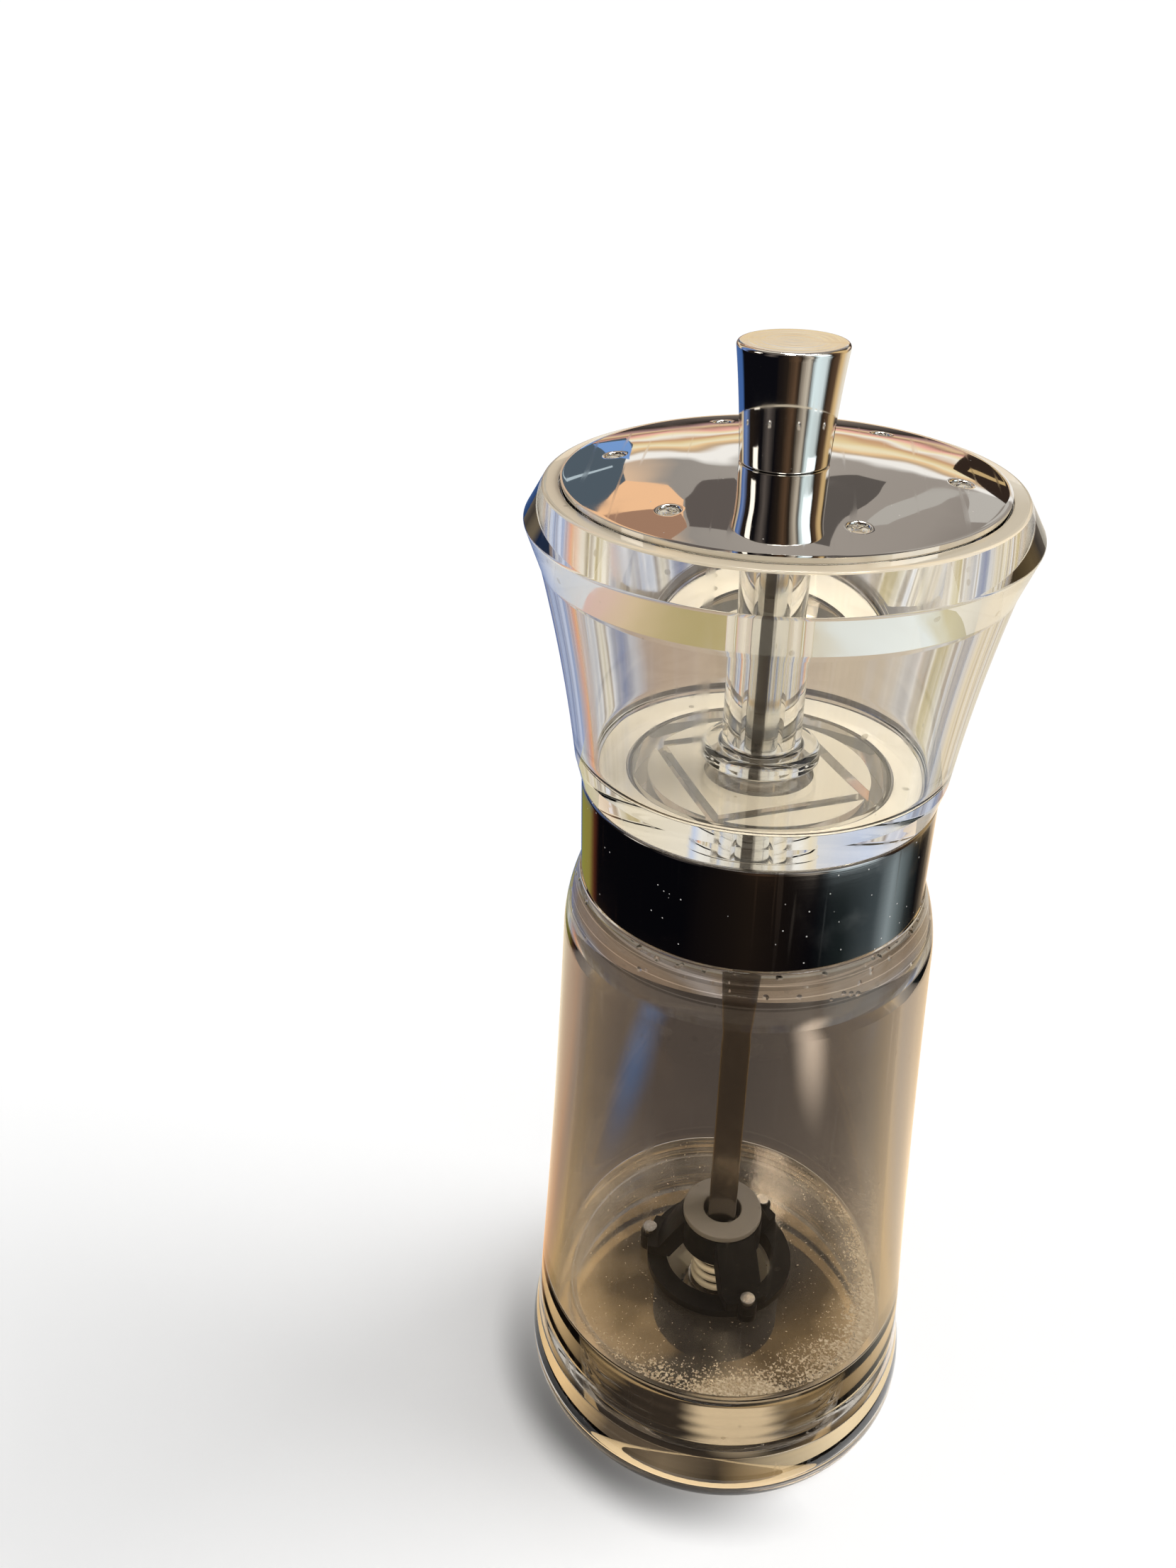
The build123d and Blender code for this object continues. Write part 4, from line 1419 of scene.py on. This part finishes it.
def soft_streak(name, near, far, width, colour, held=0.0):
    """A streak on the ground from one (x, y) to another, seen only through the clear pieces.

    It is strongest at its middle and fades to nothing at its sides and ends. The distance from the middle,
    counted in half widths across and in half lengths along, decides. Up to the held share of it the streak
    keeps its strength.
    """
    near, far = np.array(near), np.array(far)
    length = np.hypot(*(far - near))
    way = (far - near) / length
    side = np.array([way[1], -way[0]])
    aside = side * width / 2
    material, tree, surface = new_material(name)
    away = vectors(tree, "SUBTRACT", object_place(tree), (*((near + far) / 2 * MM), 0))
    across = maths(tree, "MULTIPLY", vectors(tree, "DOT_PRODUCT", away, (*side, 0)), 2 / (width * MM))
    along = maths(tree, "MULTIPLY", vectors(tree, "DOT_PRODUCT", away, (*way, 0)), 2 / (length * MM))
    spot = put(tree, "CombineXYZ", {0: across, 1: along}).outputs[0]
    fade = spread(tree, vectors(tree, "LENGTH", spot), held, 1.0, interpolation_type="SMOOTHSTEP")
    glow = put(tree, "Emission", {"Color": (*colour, 1), "Strength": 1.0}).outputs[0]
    both = put(tree, "MixShader", {0: fade, 1: glow, 2: put(tree, "BsdfTransparent").outputs[0]})
    tree.links.new(both.outputs[0], surface)
    corners = (near - aside, near + aside, far + aside, far - aside)
    panel(name, [(*corner, streak_level) for corner in corners], material, mirrored=False)


floor_ways = ((-1, -1), (1, -1), (1, 1), (-1, 1))
floor_corners = [(x * stage_half, y * stage_half, stage_level) for x, y in floor_ways]
floor = new_piece("floor", floor_corners, [[0, 1, 2, 3]])
floor.data.materials.append(floor_material())

black, dark_brown, brown = (0.004, 0.004, 0.006), (0.025, 0.017, 0.012), (0.12, 0.07, 0.04)
blue, gold, cream, window = (0.06, 0.14, 0.38), (0.72, 0.50, 0.24), (0.85, 0.78, 0.66), (0.82, 0.97, 1.0)
bright_gold, under_tone = (1.1, 0.78, 0.4), (0.035, 0.027, 0.02)

# What the body mirrors: the floor beside it
ground_card("floor beside the body", 32, 126, mirrored_ground, (
    (-180, gold), (-140, (1.3, 1.1, 0.8)), (-115, (1.1, 0.6, 0.3)), (-95, dark_brown), (0, black),
    (60, dark_brown), (80, (0.6, 0.55, 0.45)), (100, (0.9, 0.74, 0.54)), (130, (1.5, 1.14, 0.76)),
    (180, gold),
), mirrored=True)

# What the band mirrors: the floor close by
ground_card("floor close by", 126, 172, mirrored_ground, (
    (-180, blue), (-156, blue), (-150, (0.30, 0.30, 0.06)), (-128, (0.42, 0.36, 0.08)),
    (-122, (0.16, 0.04, 0.02)), (-116, black), (-40, black), (0, dark_brown), (40, black),
    (62, (0.02, 0.03, 0.03)), (84, (0.10, 0.13, 0.14)), (96, (0.5, 0.6, 0.62)), (104, (0.3, 0.37, 0.38)),
    (116, (0.04, 0.05, 0.05)), (126, black), (138, (0.1, 0.08, 0.06)), (150, (0.8, 0.6, 0.4)),
    (164, (1.4, 1.1, 0.76)), (174, gold), (180, blue),
), mirrored=True)

# Tones in front and on the right, which the floor farther off and the wall share
right_tones = (
    (-8, dark_brown), (8, brown), (20, dark_brown), (30, (0.34, 0.29, 0.23)), (38, (0.62, 0.55, 0.45)),
    (45, (0.10, 0.09, 0.08)), (54, window),
)

# What the knob mirrors: the floor farther off
ground_card("floor farther off", 172, 900, mirrored_ground, (
    (-180, (0.1, 0.16, 0.32)), (-150, blue), (-130, blue), (-122, black), (-30, black), *right_tones,
    (76, (0.7, 0.8, 0.82)), (88, dark_brown), (106, brown), (120, gold), (150, cream), (180, cream),
), wander=0.12, mirrored=True)

# Streaks behind the body and a pale patch under its floor
soft_streak("pale streak on the right", (19.4, 44), (20.2, 104), 13.0, (1.0, 0.87, 0.73))
soft_streak("blue streak on the left", (-28.8, 28), (-23.6, 92), 15.0, (0.11, 0.19, 0.38))
soft_streak("pale patch under the floor", (4.0, -22.0), (4.0, -5.5), 17.0, (1.0, 0.8, 0.52), held=0.5)

# What shows through the clear pieces: dark ground under and near the foot, and mixed colours farther off
ground_card("ground under the foot", 1, 23, foot_ground, both_sides(
    (45, under_tone), (75, (0.45, 0.31, 0.15)), (115, (0.6, 0.42, 0.2)), (150, under_tone), (180, under_tone),
))
ground_card("dark within the foot", 23, 23.95, foot_ground, both_sides(
    (0, (0.25, 0.19, 0.12)), (22, (0.06, 0.045, 0.03)), (45, gold), (90, bright_gold), (180, gold),
))
ground_card("gold line at the foot", 23.95, 24.3, foot_ground, both_sides(
    (0, (1.3, 1.0, 0.58)), (60, (1.0, 0.74, 0.4)), (180, gold),
))
ground_card("dark under the foot", 24.3, 27.6, foot_ground, both_sides(
    (55, under_tone), (70, (0.4, 0.28, 0.14)), (95, bright_gold), (180, gold),
))
ground_card("gold before the foot", 27.6, 33, foot_ground, (
    (-180, gold), (-120, (1.2, 0.9, 0.48)), (-60, bright_gold), (-25, (0.12, 0.09, 0.06)),
    (25, (0.12, 0.09, 0.06)), (60, (1.2, 1.0, 0.66)), (120, (1.2, 0.9, 0.48)), (180, gold),
))
ground_card("dark ground", 33, 145, seen_ground, (
    (-180, (0.115, 0.1, 0.09)), (-160, (0.12, 0.1, 0.09)), (-138, (0.22, 0.19, 0.17)),
    (-112, (0.3, 0.26, 0.22)), (-100, gold), (-60, (0.3, 0.22, 0.13)), (0, (0.2, 0.16, 0.12)),
    (60, (0.3, 0.22, 0.13)), (100, gold), (120, (0.4, 0.34, 0.28)), (150, (0.19, 0.165, 0.145)),
    (180, (0.115, 0.1, 0.09)),
), wander=0.02)
ground_card("mixed ground", 145, 560, seen_ground, (
    (-180, (0.55, 0.44, 0.33)), (-168, (0.44, 0.33, 0.25)), (-152, (0.2, 0.27, 0.46)),
    (-132, (0.3, 0.4, 0.66)), (-122, (0.85, 0.42, 0.22)), (-112, cream), (-60, (0.55, 0.47, 0.37)),
    (0, (0.45, 0.38, 0.3)), (60, (0.55, 0.47, 0.37)), (100, cream), (140, (0.75, 0.68, 0.55)),
    (165, (0.6, 0.51, 0.4)), (180, (0.55, 0.44, 0.33)),
), wander=0.015, clutter=0.75)
ground_card("ground behind the rim", 560, 900, seen_ground, (
    (-180, (0.55, 0.45, 0.25)), (-174, (0.42, 0.34, 0.13)), (-169, (0.66, 0.5, 0.3)),
    (-163, (0.74, 0.48, 0.46)), (-150, (0.66, 0.58, 0.5)), (-120, cream), (0, cream), (120, cream),
    (152, (0.62, 0.55, 0.44)), (160, (0.5, 0.42, 0.22)), (166, (0.62, 0.54, 0.3)),
    (170, (0.86, 0.92, 0.92)), (175, (0.78, 0.82, 0.8)), (180, (0.62, 0.52, 0.33)),
), wander=0.10)

# Ceiling: dim, with lit panels to the right and at the back left
ring_card("ceiling", 1, wall_radius, wall_height, wall_height, painted_by_bearing("ceiling", (
    (-180, (0.3, 0.27, 0.24)), (-150, cream), (-128, cream), (-120, (0.16, 0.14, 0.12)),
    (30, (0.12, 0.1, 0.09)), (48, (1.0, 0.95, 0.86)), (92, (1.0, 0.95, 0.86)), (104, (0.2, 0.17, 0.14)),
    (180, (0.3, 0.27, 0.24)),
), 0.2))

# Wall round the set: bands at the back for the cap to mirror, and tones round the rest
ring_card("wall round the set", wall_radius, wall_radius, 0, wall_height, painted_wall(
    "wall round the set",
    round_stops=(
        (-180, (0.85, 0.68, 0.45)), (-128, (0.85, 0.68, 0.45)), (-123, blue), (-112, (0.2, 0.3, 0.6)),
        (-98, dark_brown), (-60, black), (-44, (0.12, 0.1, 0.09)), (-28, black), *right_tones,
        (72, (0.7, 0.8, 0.82)), (84, dark_brown), (104, brown), (118, gold), (180, gold),
    ),
    back_stops=(
        (0, (0.30, 0.25, 0.2)), (130, (0.10, 0.08, 0.07)), (170, (0.03, 0.025, 0.02)),
        (200, (0.5, 0.3, 0.28)), (214, (0.85, 0.62, 0.36)), (228, (0.35, 0.2, 0.14)),
        (244, (0.9, 0.45, 0.38)), (262, (0.95, 0.8, 0.5)), (276, (0.98, 0.93, 0.82)),
        (292, (0.62, 0.36, 0.2)), (312, (0.85, 0.66, 0.36)), (334, (0.95, 0.86, 0.6)),
        (352, (0.9, 0.62, 0.34)), (372, (0.55, 0.4, 0.26)), (386, (1.0, 0.97, 0.92)),
        (400, (1.0, 0.97, 0.92)),
    ),
    back_high_stops=(
        (-180, (0.4, 0.36, 0.32)), (-171, (0.34, 0.31, 0.28)), (-166, (0.86, 0.6, 0.4)),
        (-152, (0.7, 0.42, 0.26)), (-142, dark_brown), (140, dark_brown), (150, (0.14, 0.12, 0.105)),
        (166, (0.36, 0.32, 0.285)), (180, (0.4, 0.36, 0.32)),
    ),
), seen_through=False)

# Panels on the back wall that the cap mirrors: tan, dark at both ends, and brown beside the knob
back_panel(
    "tan panel", (1.0, 0.60, 0.34),
    (198.3, 637), (192.7, 491), (189.2, 529), (188.4, 581), (189.6, 692), (189.8, 766), (192.8, 850),
    (197.6, 674),
)
back_panel(
    "shaded end of the tan panel", (0.4, 0.23, 0.15),
    (198.1, 632), (195.3, 636), (192.4, 632), (189.6, 655), (189.8, 766), (192.8, 850), (196.1, 744),
    nearer=5,
)
back_panel(
    "dark wedge beside the knob", (0.12, 0.105, 0.095),
    (177.3, 437), (175.3, 438), (172.5, 460), (172.8, 575), (173.7, 669), (174.2, 847), (178, 847),
)
back_panel(
    "pale beam beside the knob", (0.5, 0.47, 0.43),
    (171.9, 703), (171.0, 578), (168.5, 470), (166.0, 453), (168.4, 569), (169.9, 670),
)
back_panel(
    "pale facet on the right", (0.55, 0.52, 0.48),
    (166.3, 440), (164.8, 412), (162.4, 420), (162.0, 546), (163.5, 574),
)
back_panel(
    "dark panel on the left", (0.09, 0.12, 0.15),
    (203, 640), (203, 240), (190.8, 240), (190.8, 300), (191.8, 390), (192.7, 491), (198.3, 637),
)
back_panel(
    "blue panel on the left", (0.2, 0.36, 0.7),
    (193.2, 250), (190.8, 260), (191.4, 380), (193.0, 330), nearer=5,
)
back_panel(
    "pale line on the left", (0.5, 0.6, 0.66),
    (201, 470), (201, 450), (193, 395), (193, 408), nearer=5,
)
back_panel(
    "dark panel on the right", (0.035, 0.022, 0.016),
    (168.5, 190), (168.0, 330), (165.0, 380), (161.5, 450), (156, 450), (156, 190),
)
back_panel(
    "gold line on the right", (0.6, 0.42, 0.2),
    (167, 300), (160, 330), (160, 345), (167, 318), nearer=5,
)
back_panel(
    "brown panel", (0.13, 0.11, 0.1),
    (183.0, 470), (186.0, 510), (188.2, 575), (189.2, 692), (189.5, 766), (184.0, 830), (182.5, 700),
)

# Tall lamp far behind, which the floor of the pepper chamber mirrors as a streak
window_panel("lamp far behind", 176.6, 173.6, 880, 1085, (1.0, 0.86, 0.66), 14.0, mirrored=False)

# Strips overhead and windows at the sides
strip("strip at the back", 160, 200, 250, 420, (1.0, 0.96, 0.9), 18.0)
strip("strip on the right", 70, 110, 250, 420, (0.95, 0.98, 1.0), 18.0)
strip("strip in front", -30, 10, 200, 330, (1.0, 0.94, 0.84), 18.0)
window_panel("window on the right", 58, 84, 420, 950, (0.86, 0.95, 1.0), 1.8)
window_panel("window on the left", -84, -70, 380, 800, (1.0, 0.93, 0.82), 1.6)

# What shows through the clear pieces above the ground
wall_tones = painted_by_bearing("wall seen through", (
    (-180, (0.85, 0.8, 0.7)), (-150, (0.62, 0.7, 0.88)), (-120, (0.92, 0.9, 0.84)), (-60, (0.8, 0.74, 0.64)),
    (0, (0.75, 0.68, 0.57)), (60, (0.85, 0.8, 0.7)), (100, (0.96, 0.94, 0.88)), (140, (0.9, 0.8, 0.6)),
    (180, (0.85, 0.8, 0.7)),
), 0.15)
ring_card("wall seen through", wall_radius, wall_radius, 0, wall_height, wall_tones, mirrored=False)


def aimed(degrees, rise, target=(0, 0, 0), distance=0):
    """A lamp's stand, aimed at a point in millimetres from a bearing and a rise in degrees and a distance."""
    turn, lift = math.radians(degrees), math.radians(rise)
    back = np.array([math.sin(turn) * math.cos(lift), -math.cos(turn) * math.cos(lift), math.sin(lift)])
    side = np.cross((0, 0, 1), back)
    side /= np.linalg.norm(side)
    stand = np.eye(4)
    stand[:3, :3] = np.array([side, np.cross(back, side), back]).T
    stand[:3, 3] = (np.array(target) + back * distance) * MM
    return Matrix(stand.tolist())


def lamp(name, kind, stand, power, colour, **settings):
    """A lamp that metal doesn't mirror."""
    data = bpy.data.lights.new(name, kind)
    data.energy = power
    data.color = colour
    for setting, value in settings.items():
        setattr(data, setting, value)
    made = bpy.data.objects.new(name, data)
    made.matrix_world = stand
    made.visible_glossy = False
    bpy.context.scene.collection.objects.link(made)


lamp("key lamp", "SUN", aimed(108, 40), 2.2, (1.0, 1.0, 1.0), angle=math.radians(40))
lamp(
    "lamp on the spring", "SPOT", aimed(-14, 46, (-2, -3, 20), 400), 9.0, (1.0, 0.9, 0.7),
    spot_size=math.radians(2.6), spot_blend=0.6, shadow_soft_size=0.01,
)

world = bpy.data.worlds.new("studio")
bpy.context.scene.world = world
world.use_nodes = True
world_tree = world.node_tree
world_tree.nodes.clear()
strength = ranged(world_tree, looked_at(world_tree), 0.55, 1.0)
sky = put(world_tree, "Background", {"Color": (1, 1, 1, 1), "Strength": strength})
put(world_tree, "OutputWorld", {"Surface": sky.outputs[0]})

# Camera, fitted to the photograph's outline: millimetres, degrees, and the focal length in its pixels
photo_long_side = 2212
focal_pixels = 1884.0
camera_back = 139.26
camera_height = 182.95
camera_yaw = -8.412
camera_pitch = 30.928
camera_roll = -0.386


def camera_axes():
    """The camera's right, up and back directions from its yaw, its pitch below the horizon and its roll."""
    yaw, pitch, roll = (math.radians(a) for a in (camera_yaw, camera_pitch, camera_roll))
    forward = np.array([math.sin(yaw) * math.cos(pitch), math.cos(yaw) * math.cos(pitch), -math.sin(pitch)])
    right = np.array([math.cos(yaw), -math.sin(yaw), 0])
    down = np.cross(forward, right)
    rolled_right = math.cos(roll) * right + math.sin(roll) * down
    rolled_down = -math.sin(roll) * right + math.cos(roll) * down
    return rolled_right, -rolled_down, -forward


lens = bpy.data.cameras.new("camera")
lens.sensor_width = 36.0
lens.lens = focal_pixels * lens.sensor_width / photo_long_side
lens.clip_start = 0.005
camera = bpy.data.objects.new("camera", lens)
stand = np.eye(4)
stand[:3, :3] = np.array(camera_axes()).T
stand[:3, 3] = (0, -camera_back * MM, camera_height * MM)
camera.matrix_world = Matrix(stand.tolist())
bpy.context.scene.collection.objects.link(camera)
bpy.context.scene.camera = camera
bpy.context.scene.view_settings.view_transform = "Standard"
